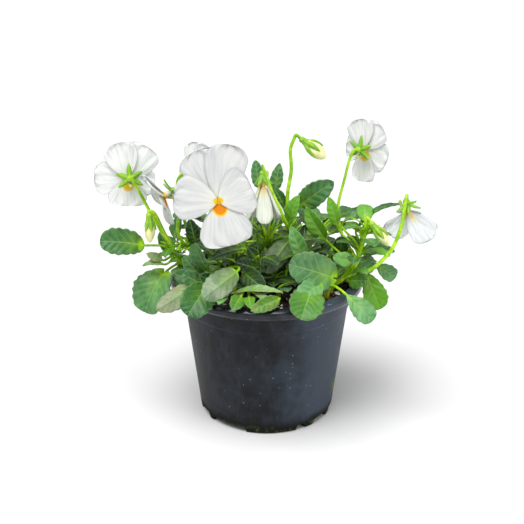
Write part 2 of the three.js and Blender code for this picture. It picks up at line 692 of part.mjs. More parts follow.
        faces: [-0.4, -0.2, 1], at: 0.75, arch: 0.14,
      },
      {
        kind: 'lance', base: [41, 0, 108], tip: [54, -3, 111], width: 7,
        faces: [-0.3, -0.4, 1], at: 0.7, arch: 0.2,
      },
      { kind: 'lance', base: [37, -7, 108], tip: [32, -8, 124.5], width: 7, faces: FRONT, at: 0.65 },
      { kind: 'round', base: [39, -9, 94], tip: [39, -12, 104], width: 9, faces: FRONT, at: 0.5 },
      { kind: 'ovate', base: [44, -20, 93], tip: [34, -22, 96], width: 8, faces: FRONT, at: 0.55 },
      {
        kind: 'lance', base: [31, -12, 102], tip: [20, -14, 121], width: 10,
        faces: [-0.3, -0.9, 0.3], at: 0.5, fold: 28,
      },
    ],
  },
  {
    name: 'shoot_right_low',
    stem: [[31, -27, 64], [31, -27, 77], [32, -28, 82]],
    radius: 1.6,
    stipules: [{ at: 0.95, count: 2, length: 6, turn: 60 }],
    leaves: [
      { kind: 'round', base: [33, -27, 87], tip: [11, -37, 98], width: 19, faces: FRONT },
      { kind: 'round', base: [26, -35, 86.5], tip: [15, -47, 81.5], width: 12, faces: FRONT },
      { kind: 'round', base: [21.5, -41.5, 84], tip: [16.5, -56.5, 76.5], width: 18, faces: FRONT, at: 0.8 },
      { kind: 'spoon', base: [40, -38, 82], tip: [53, -46, 71], width: 11, faces: FRONT, at: 0.9 },
    ],
  },
  {
    name: 'shoot_right_side',
    stem: [[40.5, -6, 63], [40.5, -6, 77], [45, -8, 83]],
    radius: 1.3,
    leaves: [
      { kind: 'spoon', base: [52, -16, 86], tip: [59, -25, 68], width: 13, faces: FRONT },
      { kind: 'spoon', base: [58, -6, 86], tip: [69, -8, 79], width: 9, faces: FRONT },
    ],
  },
  {
    name: 'shoot_back_left',
    stem: [[-24, 20, 63], [-24, 20, 77], [-27, 24, 86], [-30, 28, 93]],
    radius: 1.4,
    fan: { count: 7, outward: 148, spread: 64, seed: 0.22 },
  },
  {
    name: 'shoot_back',
    stem: [[-2, 30, 63], [-2, 30, 77], [-1, 34, 88], [0, 38, 99]],
    radius: 1.4,
    fan: { count: 7, outward: 86, spread: 62, seed: 0.45 },
  },
  {
    name: 'shoot_back_right',
    stem: [[26, 22, 63], [26, 22, 77], [29, 25, 87], [32, 28, 95]],
    radius: 1.4,
    fan: { count: 7, outward: 45, spread: 75, seed: 0.7 },
  },
  {
    name: 'shoot_middle',
    stem: [[3, -17, 63], [3, -17, 77], [3, -17.5, 79.5], [3, -18, 82]],
    radius: 1.2,
    fan: { count: 5, outward: -60, spread: 100, seed: 0.36, reach: 4, size: 13 },
  },
  {
    name: 'shoot_middle_low',
    stem: [[6, -29, 63], [6, -29, 77], [6, -29.5, 79.5], [6, -30, 82]],
    radius: 1.2,
    fan: { count: 3, outward: -60, spread: 100, seed: 0.45, reach: 4, size: 13 },
  },
  {
    name: 'shoot_inner',
    stem: [[-14, 6, 63], [-14, 6, 77], [-14, 6, 88], [-15, 5, 96]],
    radius: 1.3,
    fan: { count: 6, outward: -90, spread: 150, seed: 0.3, reach: 6, size: 13 },
  },
];

// Each flower sits on the receptacle at the end of its stalk. Angles turn from its up direction.
const BLOOMS = {
  bloom_left: {
    seat: [-71, -4, 133], faces: [-0.3, 0.9, -0.25], size: 18,
    petals: [
      { angle: 12, length: 1.05, width: 1.0, layer: 0 },
      { angle: -36, length: 1.08, width: 1.05, layer: 1 },
      { angle: 84, length: 0.98, width: 0.95, layer: 2 },
      { angle: -108, length: 0.8, width: 0.8, layer: 2 },
      { angle: 172, length: 0.8, width: 1.15, layer: 1 },
    ],
  },
  bloom_side: {
    seat: [-49, -5.5, 127], faces: [-0.8, -0.4, -0.45], up: [-0.1, 0, 1], size: 15, cup: 24,
    petals: [
      { angle: -24, length: 1.0, width: 0.9, layer: 0 },
      { angle: 22, length: 1.1, width: 0.9, layer: 1 },
      { angle: -96, length: 0.72, width: 0.7, layer: 1 },
      { angle: 96, length: 0.9, width: 0.8, layer: 2 },
      { angle: 180, length: 1, width: 1.0, layer: 1 },
    ],
  },
  bloom_front: {
    seat: [-23.4, -31.5, 129], faces: [-0.05, -0.95, 0.3], size: 22.2, cup: 5, reflex: 0.06,
    petals: [
      { angle: -24, length: 1.2, width: 1.0, layer: 0 },
      { angle: 10, length: 1.26, width: 0.95, layer: 1 },
      { angle: -84, length: 0.99, width: 0.98, layer: 2 },
      { angle: 64, length: 0.8, width: 1.06, layer: 2 },
      { angle: 165, length: 1.0, width: 1.18, layer: 1 },
    ],
  },
  bloom_behind: { seat: [-41, 6, 134], faces: [0.6, 0.75, -0.15], size: 14 },
  bloom_centre: {
    seat: [-2, -8, 136.5], faces: [0.05, -0.15, -1], up: [-0.6, -0.8, 0], size: 21.5, cup: 66, sepalLean: 60,
    reflex: 0.02,
    petals: [
      { angle: -36, length: 1.0, width: 0.4, layer: 0 },
      { angle: 36, length: 1.0, width: 0.4, layer: 1 },
      { angle: -108, length: 0.96, width: 0.4, layer: 1 },
      { angle: 108, length: 0.9, width: 0.38, layer: 0 },
      { angle: 180, length: 1, width: 0.45, layer: 2 },
    ],
  },
  bloom_high: {
    seat: [49, 13, 144], faces: [0.66, 0.7, -0.1], size: 16,
    petals: [
      { angle: 20, length: 1.0, width: 1.1, layer: 0 },
      { angle: -30, length: 0.98, width: 1.0, layer: 1 },
      { angle: 92, length: 0.84, width: 0.95, layer: 2 },
      { angle: -110, length: 0.9, width: 1.05, layer: 2 },
      { angle: 180, length: 1.1, width: 0.95, layer: 1 },
    ],
  },
  bloom_right: {
    seat: [73, -8, 121], faces: [0.12, 0.2, -0.95], up: [1, -0.5, 0.1], size: 18, cup: 44, sepalLean: 24,
    petals: [
      { angle: -33, length: 1.05, width: 0.84, layer: 0 },
      { angle: 33, length: 1.05, width: 0.84, layer: 1 },
      { angle: -104, length: 0.85, width: 0.62, layer: 1 },
      { angle: 104, length: 0.95, width: 0.74, layer: 0 },
      { angle: 180, length: 0.95, width: 0.78, layer: 2 },
    ],
  },
};
const BUDS = {
  bud_left: {
    seat: [-60.5, -16.5, 116.5], faces: [0, -0.05, -1], up: [1, 0, 0],
    length: 13, girth: 2.7, clasp: 0.62, hook: 2.8,
  },
  bud_top: {
    seat: [19, 10, 150], faces: [0.75, 0, -0.6], up: [0, 0, 1], length: 14.5, girth: 4, clasp: 0.62,
  },
  bud_right: {
    seat: [55, -12, 110.5], faces: [0.62, -0.2, -0.75], up: [0, 0, 1], length: 13, girth: 2.8, clasp: 0.62,
  },
};

/** The flower stalk's path, led on to the back of its receptacle. */
function stalkPath(path, flower) {
  const frame = flowerFrame(flower);
  const { hook = 4.4 } = flower;   // length of straight stalk behind the receptacle
  const ends = [-hook, -1.2].map((distance) => along(frame.seat, [frame.n, distance]));
  return [...path.map(vec), ...ends];
}

/**
 * The leaves of a shoot that only leans out: the k-th leaves at a share of the stem's length, turned by
 * the golden section within a fan about the way it leans.
 */
function fanLeaves(stem, { count, outward, spread, seed, reach = 11, size = 18 }) {
  const part = (x) => x - Math.floor(x);
  return Array.from({ length: count }, (_, k) => {
    const at = 0.45 + (0.5 * k) / (count - 1);
    const turn = degrees(outward + spread * (2 * part(GOLDEN * k + seed) - 1));
    const rise = 0.1 + 0.8 * part(0.382 * k + 1.7 * seed);
    const [east, north] = [Math.cos(turn), Math.sin(turn)];
    const towards = (lift) => vec([east * Math.cos(lift), north * Math.cos(lift), Math.sin(lift)]);
    const base = along(stem.getPoint(at), [towards(rise + 0.25), reach * (0.7 + 0.5 * part(0.73 * k))]);
    const length = size * (0.8 + 0.35 * part(0.57 * k + seed));
    const tip = along(base, [towards(rise - 0.35), length]);
    return {
      kind: k % 3 ? 'ovate' : 'round', base: base.toArray(), tip: tip.toArray(), at,
      width: length * (0.62 + 0.16 * part(0.29 * k)),
      faces: [-0.35 * east, -0.35 * north, 1], arch: 0.1, flat: true,
    };
  });
}

/** One leafy shoot: stem, flower stalks with their calyces, stipules and leaves in one solid. */
function makeShoot(shoot) {
  const stem = new THREE.CatmullRomCurve3(shoot.stem.map(vec), false, 'catmullrom', 0.5);
  const parts = [stalk(shoot.stem.map(vec), shoot.radius, 0.75 * shoot.radius)];
  for (const { path, flower: flowerName, radius = 1.1 } of shoot.stalks ?? []) {
    const flower = BLOOMS[flowerName] ?? BUDS[flowerName];
    parts.push(stalk(stalkPath(path, flower), radius, 0.8 * radius));
    parts.push((BLOOMS[flowerName] ? openCalyx : budCalyx)(flowerFrame(flower), flower));
  }
  for (const spec of shoot.stipules ?? []) parts.push(...stipules(stem, shoot.radius, spec));
  const leaves = [...(shoot.leaves ?? []), ...(shoot.fan ? fanLeaves(stem, shoot.fan) : [])];
  for (const spec of leaves) parts.push(leaf(stem, shoot.radius, spec));
  return fuse(parts);
}

// ---------------------------------------------------------------- assembly
const MATERIALS = {
  plastic: { color: 0x26282b, roughness: 0.45, metalness: 0 },
  soil: { color: 0x2b1f16, roughness: 0.95, metalness: 0 },
  green: { color: 0x5f8f4a, roughness: 0.6, metalness: 0 },
  petal: { color: 0xf2f2ee, roughness: 0.55, metalness: 0 },
  bud: { color: 0xf1f0c4, roughness: 0.55, metalness: 0 },
};

function meshOf(name, solid, material) {
  const mesh = new THREE.Mesh(geometryOf(solid), new THREE.MeshStandardMaterial(MATERIALS[material]));
  mesh.name = name;
  return mesh;
}

const violet = new THREE.Group();
const stemFeet = SHOOTS.map(({ stem, radius }) => ({ foot: vec(stem[0]), radius }));
violet.add(meshOf('pot', makePot(), 'plastic'));
violet.add(meshOf('soil', makeSoil(stemFeet), 'soil'));
for (const shoot of SHOOTS) violet.add(meshOf(shoot.name, makeShoot(shoot), 'green'));
for (const [name, spec] of Object.entries(BLOOMS)) violet.add(meshOf(name, corolla(spec), 'petal'));
for (const [name, spec] of Object.entries(BUDS)) violet.add(meshOf(`${name}_petals`, budPetals(spec), 'bud'));

export default violet;
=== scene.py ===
# %% [markdown]
# # A potted horned violet
#
# A horned violet is a low, leafy plant whose white blooms stand above the leaves on long stalks that
# hook over at the top. It grows in a thin black nursery pot. The solid model already holds every piece
# at its size and place: the pot, the soil, and one node for each leafy shoot, bloom and bud. Here each
# of them gets the finer surface and the finish that living leaves, petals and used plastic have.
#
# Everything is computed in millimetres, in the frame of the solid model, and turned into metres only
# where a mesh is made.

import bpy
import mathutils
import numpy as np
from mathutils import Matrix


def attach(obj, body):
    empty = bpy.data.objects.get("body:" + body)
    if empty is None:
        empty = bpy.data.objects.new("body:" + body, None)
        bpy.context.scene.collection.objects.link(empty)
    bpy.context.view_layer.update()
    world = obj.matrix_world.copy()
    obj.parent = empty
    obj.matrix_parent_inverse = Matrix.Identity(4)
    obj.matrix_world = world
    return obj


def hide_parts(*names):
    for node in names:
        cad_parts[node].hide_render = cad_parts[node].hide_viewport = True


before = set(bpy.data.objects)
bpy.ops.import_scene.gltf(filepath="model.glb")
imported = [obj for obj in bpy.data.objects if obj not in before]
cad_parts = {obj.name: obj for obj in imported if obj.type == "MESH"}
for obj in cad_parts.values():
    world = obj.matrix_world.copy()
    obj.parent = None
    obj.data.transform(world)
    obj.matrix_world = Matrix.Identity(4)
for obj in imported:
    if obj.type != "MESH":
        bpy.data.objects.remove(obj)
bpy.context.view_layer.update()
MM = 0.001


# %% [markdown]
# ## Curves and directions
#
# Stems and stalks are drawn through a few places. A Catmull-Rom curve passes through all of them, and
# its slope at each place is half the step between that place's neighbours, so it never needs handles.
# Bezier handles would bend more freely, but each would be one more thing to keep clear of a neighbour.

# %% Directions and smooth curves
def unit(v):
    """Each vector divided by its length."""
    return v / np.maximum(np.linalg.norm(v, axis=-1, keepdims=True), 1e-9)


def square_to(direction, axis):
    """The part of each direction that is square to its axis: d - (d . a) a, at unit length."""
    return unit(direction - axis * np.sum(direction * axis, axis=-1, keepdims=True))


def smooth(x, low=0.0, high=1.0):
    """A soft step: 0 below low, 1 above high, and 3q^2 - 2q^3 of the share q between."""
    q = np.clip((np.asarray(x, float) - low) / (high - low), 0, 1)
    return q * q * (3 - 2 * q)


def through(places, t):
    """The Catmull-Rom curve through the places, at each t from 0 to 1.

    Between places p1 and p2 it is the cubic with those ends and the slopes (p2 - p0) / 2 and
    (p3 - p1) / 2. One more place is made past either end by mirroring the last step.
    """
    p = np.asarray(places, float)
    p = np.vstack([2 * p[0] - p[1], p, 2 * p[-1] - p[-2]])
    x = np.asarray(t, float) * (len(p) - 3)
    i = np.clip(np.floor(x).astype(int), 0, len(p) - 4)
    w = (x - i)[..., None]
    a, b = p[i + 1], p[i + 2]
    slope_a, slope_b = (b - p[i]) / 2, (p[i + 3] - a) / 2
    cubic = 2 * a - 2 * b + slope_a + slope_b
    square = -3 * a + 3 * b - 2 * slope_a - slope_b
    return ((cubic * w + square) * w + slope_a) * w + a


# %% [markdown]
# ## Skins made of rings
#
# A stalk, a leaf, a sepal and a petal are all the same thing to the computer: a closed ring of points
# that is carried along a line while it changes its shape. A round ring makes a stalk. A ring that is
# 20 mm wide and half a millimetre thick makes a leaf. Building all of them this way gives closed
# surfaces with a real thickness, and one function turns them all into a mesh. A flat sheet with a
# Solidify modifier would also do, but its rim would be square, where a leaf thins out to its margin.
#
# Each ring point also carries a few numbers for the materials. `side` is 1 on the upper face and `stalk`
# is 1 on stems. `rib` and `edge` are the distances from the middle and from the margin in mm, and `vein`
# is the phase of the side veins. The others are shares of a tint.

# %% Rings round a line, and rings of a blade
def carried_sides(tangent):
    """For each ring a direction square to its tangent, carried along so that the rings don't twist."""
    start = np.array([0.0, 1, 0]) if abs(tangent[0, 1]) < 0.8 else np.array([1.0, 0, 0])
    sides = [square_to(start, tangent[0])]
    for step in tangent[1:]:
        sides.append(square_to(sides[-1], step))
    return np.array(sides)


def swept(centre, radius, sides=14, flutes=0, depth=0.0, turn=0.0):
    """Round rings: centre + r (cos a side + sin a other), r = radius (1 + depth cos(flutes a + turn))."""
    tangent = unit(np.gradient(centre, axis=0))
    side = carried_sides(tangent)
    other = np.cross(tangent, side)
    a = np.linspace(0, 2 * np.pi, sides, endpoint=False)
    r = np.broadcast_to(radius, len(centre))[:, None]
    r = r * (1 + depth * np.cos(flutes * a + np.asarray(turn)[..., None]))
    return (centre[:, None] + side[:, None] * (r * np.cos(a))[..., None]
            + other[:, None] * (r * np.sin(a))[..., None])


def blade(centre, across, up, half, lift, thickness, s, relief=0.0, ridge=0.0):
    """Rings of a thin blade. s runs over its upper face from -1 to 1, and back over its lower face.

    A point of the middle sheet is centre + across s h cos(lift) + up (|s| h sin(lift) + relief).
    The faces lie half the thickness times sqrt(1 - s^2) above and below, so they meet at the margin,
    and ridge stands out of the lower face alone, as a midrib does.
    """
    reach = half[:, None] * s
    rise = np.abs(reach) * np.sin(lift)[:, None] + relief
    sheet = centre[:, None] + across[:, None] * (reach * np.cos(lift)[:, None])[..., None]
    body = 0.5 * thickness[:, None] * np.sqrt(np.clip(1 - s * s, 0, 1))
    top = sheet + up[:, None] * (rise + body)[..., None]
    under = sheet + up[:, None] * (rise - body - ridge)[..., None]
    return np.concatenate([top, under[:, -2:0:-1]], axis=1)


def round_ring(over_top):
    """Values known across the upper face, carried on to the lower face as blade() orders its points."""
    return np.concatenate([over_top, over_top[:, -2:0:-1]], axis=1)


def margin_distance(half, s):
    """How far each point lies from the margin in mm: h (1 - |s|), for the whole ring."""
    return round_ring(half[:, None] * (1 - np.abs(s)))


def on_top(rings, s):
    """1 on the upper face of a blade and 0 on its lower face."""
    upper = np.zeros(rings.shape[:2])
    upper[:, :len(s)] = 1.0
    return upper


# %% Turn skins into one mesh object
LOOKS = ("side", "stalk", "tone", "young", "dry", "rib", "vein", "edge", "eye")


def skin(rings, finish=0, **looks):
    """A closed skin from rings of points (rows, points round, 3), with its looks as arrays or numbers."""
    rows, round_count = rings.shape[:2]
    values = {name: np.broadcast_to(looks.get(name, 0.0), (rows, round_count)).ravel() for name in LOOKS}
    at = np.arange(rows * round_count).reshape(rows, round_count)
    after = np.roll(at, -1, axis=1)
    quads = np.stack([at[:-1], after[:-1], after[1:], at[1:]], axis=-1).reshape(-1, 4)
    ends = [at[0, ::-1].tolist(), at[-1].tolist()]
    p = rings.reshape(-1, 3)
    a, b, c, d = (p[quads[:, k]] - p.mean(axis=0) for k in range(4))
    volume = np.sum(a * np.cross(b, c)) + np.sum(a * np.cross(c, d))
    if volume < 0:
        quads, ends = quads[:, ::-1], [end[::-1] for end in ends]
    return {"points": p, "faces": quads.tolist() + ends, "finish": finish, "values": values}


def added(name, data):
    """A new object in the scene, which shows this mesh, light or camera."""
    thing = bpy.data.objects.new(name, data)
    bpy.context.scene.collection.objects.link(thing)
    return thing


def fuse(name, skins, materials):
    """One object at the origin from several skins, in metres, smooth, with each look as an attribute."""
    points, faces, finishes, start = [], [], [], 0
    for part in skins:
        points.append(part["points"])
        faces += [[start + k for k in face] for face in part["faces"]]
        finishes += [part["finish"]] * len(part["faces"])
        start += len(part["points"])
    mesh = bpy.data.meshes.new(name)
    mesh.from_pydata((np.vstack(points) * MM).tolist(), [], faces)
    mesh.polygons.foreach_set("use_smooth", np.ones(len(faces), bool))
    mesh.polygons.foreach_set("material_index", np.array(finishes, np.int32))
    for look in LOOKS:
        values = np.concatenate([part["values"][look] for part in skins]).astype(np.float32)
        if np.any(values):
            mesh.attributes.new(look, "FLOAT", "POINT").data.foreach_set("value", values)
    for material in materials:
        mesh.materials.append(material)
    mesh.update()
    return added(name, mesh)


def settle(thing, slot, *nodes):
    """The piece rides on the one body and stands for those nodes. The slot is not used."""
    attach(thing, "root")
    if nodes:
        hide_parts(*nodes)
    print(f"{thing.name}: {len(thing.data.polygons)} faces")
    return thing


# %% [markdown]
# ## Wiring materials
#
# A material is a small network of nodes. A few helpers keep the wiring short: one adds a node and sets
# or links its inputs, one mixes two colours, one turns a range of values into a mask, and three do the
# arithmetic. What varies over the surface is linked, and what doesn't is set on the shader itself.

# %% Helpers for shader networks
def srgb(red, green, blue):
    """A colour given as 0 to 255 on a screen, as the linear values that light adds up in."""
    c = np.array([red, green, blue]) / 255
    return (*np.where(c <= 0.04045, c / 12.92, ((c + 0.055) / 1.055) ** 2.4).tolist(), 1.0)


def feed(tree, node, inputs):
    """Sets each named input of a node to a value, or links it to another node's output."""
    for key, value in inputs.items():
        if isinstance(value, bpy.types.NodeSocket):
            tree.links.new(value, node.inputs[key])
        else:
            node.inputs[key].default_value = value


def put(tree, kind, inputs, **settings):
    """Adds a node of a kind, with its settings and its inputs."""
    node = tree.nodes.new(kind)
    for key, value in settings.items():
        setattr(node, key, value)
    feed(tree, node, inputs)
    return node


def mixed(tree, share, a, b):
    """The colour a where share is 0 and b where it is 1."""
    return put(tree, "ShaderNodeMix", {0: share, 6: a, 7: b}, data_type="RGBA").outputs[2]


def sums(tree, operation, *values):
    """One arithmetic step on numbers or sockets."""
    return put(tree, "ShaderNodeMath", dict(enumerate(values)), operation=operation).outputs[0]


def times(tree, a, b):
    """The product a b."""
    return sums(tree, "MULTIPLY", a, b)


def plus(tree, a, b):
    """The sum a + b."""
    return sums(tree, "ADD", a, b)


def larger(tree, a, b):
    """The larger of a and b."""
    return sums(tree, "MAXIMUM", a, b)


def mask(tree, value, low, high, bottom=0.0, top=1.0):
    """A soft step from bottom to top while the value goes from low to high."""
    inputs = {"Value": value, "From Min": low, "From Max": high, "To Min": bottom, "To Max": top}
    return put(tree, "ShaderNodeMapRange", inputs, interpolation_type="SMOOTHSTEP").outputs[0]


def looks(tree, *names):
    """Some of the numbers that each skin carries, as sockets."""
    return [put(tree, "ShaderNodeAttribute", {}, attribute_name=name).outputs["Fac"] for name in names]


def noise(tree, vector, scale, detail=3.0, rough=0.55):
    """Soft noise from 0 to 1, scale to the metre."""
    inputs = {"Vector": vector, "Scale": scale, "Detail": detail, "Roughness": rough}
    return put(tree, "ShaderNodeTexNoise", inputs).outputs["Fac"]


def here(tree):
    """The place on the piece, in metres."""
    return put(tree, "ShaderNodeTexCoord", {}).outputs["Object"]


def material(name):
    """A new material with one Principled shader, and its parts."""
    made = bpy.data.materials.new(name)
    made.use_nodes = True
    return made, made.node_tree, made.node_tree.nodes["Principled BSDF"]


# %% [markdown]
# ## Two shared effects
#
# Leaves, petals and plastic all need the same two things: blotches that change a colour a little, and
# a fine unevenness that breaks up the shine. Each is a node group with named inputs, built once.

# %% The group for blotches and the group for fine bumps
def new_group(name, numbers, result, kind):
    """An empty node group: a vector and some numbers go in, and one result of a kind comes out."""
    group = bpy.data.node_groups.new(name, "ShaderNodeTree")
    group.interface.new_socket("Vector", in_out="INPUT", socket_type="NodeSocketVector")
    for key, value in numbers.items():
        socket = group.interface.new_socket(key, in_out="INPUT", socket_type="NodeSocketFloat")
        socket.default_value = value
    group.interface.new_socket(result, in_out="OUTPUT", socket_type=kind)
    inlet, outlet = group.nodes.new("NodeGroupInput"), group.nodes.new("NodeGroupOutput")
    return group, inlet.outputs, outlet


def make_blotches():
    """Noise in two sizes, 0.7 of the coarse and 0.3 of the fine, cut to a mask between Low and High."""
    group, given, outlet = new_group(
        "blotches", {"Scale": 60.0, "Low": 0.45, "High": 0.6}, "Mask", "NodeSocketFloat")
    coarse = noise(group, given["Vector"], given["Scale"], 4.0, 0.6)
    fine = noise(group, given["Vector"], times(group, given["Scale"], 4.3), 2.0, 0.5)
    both = plus(group, times(group, coarse, 0.7), times(group, fine, 0.3))
    feed(group, outlet, {"Mask": mask(group, both, given["Low"], given["High"])})
    return group


def make_grain():
    """A normal bent by fine noise. Size is in millimetres and Depth in hundredths of a millimetre."""
    group, given, outlet = new_group(
        "grain", {"Size": 0.6, "Depth": 2.0, "More": 0.0}, "Normal", "NodeSocketVector")
    rough = noise(group, given["Vector"], sums(group, "DIVIDE", 1 / MM, given["Size"]), 2.0)
    height = plus(group, times(group, rough, given["Depth"]), given["More"])
    bump = put(group, "ShaderNodeBump", {"Distance": 0.01 * MM, "Strength": 1.0, "Height": height})
    feed(group, outlet, {"Normal": bump.outputs[0]})
    return group


BLOTCHES, GRAIN = make_blotches(), make_grain()
print("nodes in the two groups:", len(BLOTCHES.nodes), "and", len(GRAIN.nodes))


def blotches(tree, vector, scale, low, high):
    """The blotch group placed in a material."""
    inputs = {"Vector": vector, "Scale": scale, "Low": low, "High": high}
    return put(tree, "ShaderNodeGroup", inputs, node_tree=BLOTCHES).outputs[0]


def grain(tree, vector, size, depth, more=0.0):
    """The grain group placed in a material."""
    inputs = {"Vector": vector, "Size": size, "Depth": depth, "More": more}
    return put(tree, "ShaderNodeGroup", inputs, node_tree=GRAIN).outputs[0]


# %% [markdown]
# ## The pot
#
# A nursery pot is blown or moulded from thin black plastic: a cone with a rolled rim, a faint collar
# under it, and a foot ring that is notched so that water can run out. It is a turned shape, so a
# profile carried round the axis makes it. The corners of the profile are rounded first, because a
# moulded corner is never sharp and its soft highlight is what tells plastic from metal. The notches
# are made by lifting the foot ring where they are.

# %% Sizes of the pot
POT = dict(height=78.3, foot=37.0, neck=46.6, rim=52.5, rim_depth=5.2, wall=1.3, step_height=62.5,
           step_out=0.6, boss=12.0, foot_width=4.2, floor_rise=3.2, floor_top=5.2)
POT_SIDES = 360
FOOT_NOTCHES = [(-35, 34), (30, 8), (53, 18)]     # centre and width in degrees, in each third
NOTCH_HEIGHT = 3.0
DRAIN = dict(count=5, radius=3.6, circle=22.5, sides=28, bottom=-2, top=8)
MOSS_PLACE = (0.0385, -0.0120, 0.0165)            # metres, low on the right of the wall
CORNER, FOOT_CORNER, RIM_CORNER = 0.6, 1.4, 0.8   # radii of the rounded corners
print("pot, mm:", POT["height"], "tall and", 2 * POT["rim"], "wide at its rim")


# %% The pot's profile, its turning and its notches
def rounded(profile, radii, steps=6):
    """A profile with its corners rounded: near corner B the line is the curve with ends on both arms.

    The curve is (1-q)^2 A + 2 q (1-q) B + q^2 C, where A and C lie the corner's radius away from B,
    or 0.45 of the arm where that is shorter.
    """
    p = np.asarray(profile, float)
    before, after = p[:-2] - p[1:-1], p[2:] - p[1:-1]
    arms = [np.minimum(radii, 0.45 * np.linalg.norm(v, axis=1))[:, None] * unit(v)
            for v in (before, after)]
    q = np.linspace(0, 1, steps)[None, :, None]
    a, b, c = (x[:, None] for x in (p[1:-1] + arms[0], p[1:-1], p[1:-1] + arms[1]))
    curve = (1 - q) ** 2 * a + 2 * q * (1 - q) * b + q * q * c
    return np.vstack([p[:1], curve.reshape(-1, 2), p[-1:]])


def pot_profile():
    """The turned outline (radius, height), from the middle of the underside round to the inner floor."""
    top, foot, neck, rim, wall = (POT[key] for key in ("height", "foot", "neck", "rim", "wall"))
    rise, floor, step, boss = (POT[key] for key in ("floor_rise", "floor_top", "step_height", "boss"))
    under_rim, edge, axis = top - POT["rim_depth"], foot - POT["foot_width"], 0.02
    slope = (neck - POT["step_out"] - foot) / under_rim
    outer = lambda z: foot + slope * z
    corners = [
        (axis, 0), (boss, 0), (boss + 0.6, rise), (edge, rise), (edge + 0.6, 0), (foot, 0),
        (outer(rise), rise), *[(outer(z), z) for z in np.linspace(8, step - 6, 8)],
        (outer(step), step), (outer(step) + POT["step_out"], step + 0.8), (neck, under_rim),
        (rim - 1.0, under_rim), (rim, under_rim + 1.6), (rim - 0.2, top - 1.2), (rim - 1.7, top),
        (neck + 0.8, top), (neck - wall, under_rim - 1), (outer(floor) - wall, floor), (axis, floor),
    ]
    radii = np.full(len(corners) - 2, CORNER)
    radii[4] = FOOT_CORNER
    radii[-7:-2] = RIM_CORNER
    return rounded(corners, radii)


def turned(profile, count):
    """The profile carried round the upright axis: rings (profile points, count, 3)."""
    a = np.linspace(0, 2 * np.pi, count, endpoint=False)
    r, z = profile[:, :1], profile[:, 1:]
    return np.stack([r * np.cos(a), r * np.sin(a), np.broadcast_to(z, (len(profile), count))], axis=-1)


def notch_share(angle):
    """1 inside a notch of the foot ring and 0 outside, with soft ends.

    Degrees run from the front to the right.
    """
    turn = np.degrees(angle) + 90
    share = np.zeros_like(turn)
    for third in (0, 120, 240):
        for centre, width in FOOT_NOTCHES:
            off = np.abs((turn - centre - third + 180) % 360 - 180)
            share = np.maximum(share, 1 - smooth(off, width / 2 - 1.2, width / 2 + 0.8))
    return share


# %% Turn the pot and lift its notches
pot_rings = turned(pot_profile(), POT_SIDES)
notched = notch_share(np.arctan2(pot_rings[..., 1], pot_rings[..., 0]))
ring_start = POT["foot"] - POT["foot_width"]
foot_ring = smooth(np.hypot(pot_rings[..., 0], pot_rings[..., 1]), ring_start - 0.5, ring_start + 0.3)
low_share = np.clip(1 - pot_rings[..., 2] / (NOTCH_HEIGHT + 0.6), 0, 1)
pot_rings[..., 2] += NOTCH_HEIGHT * notched * foot_ring * low_share
print("pot rings:", pot_rings.shape, "notches take", round(float(notched[0].mean()), 2), "of the foot")
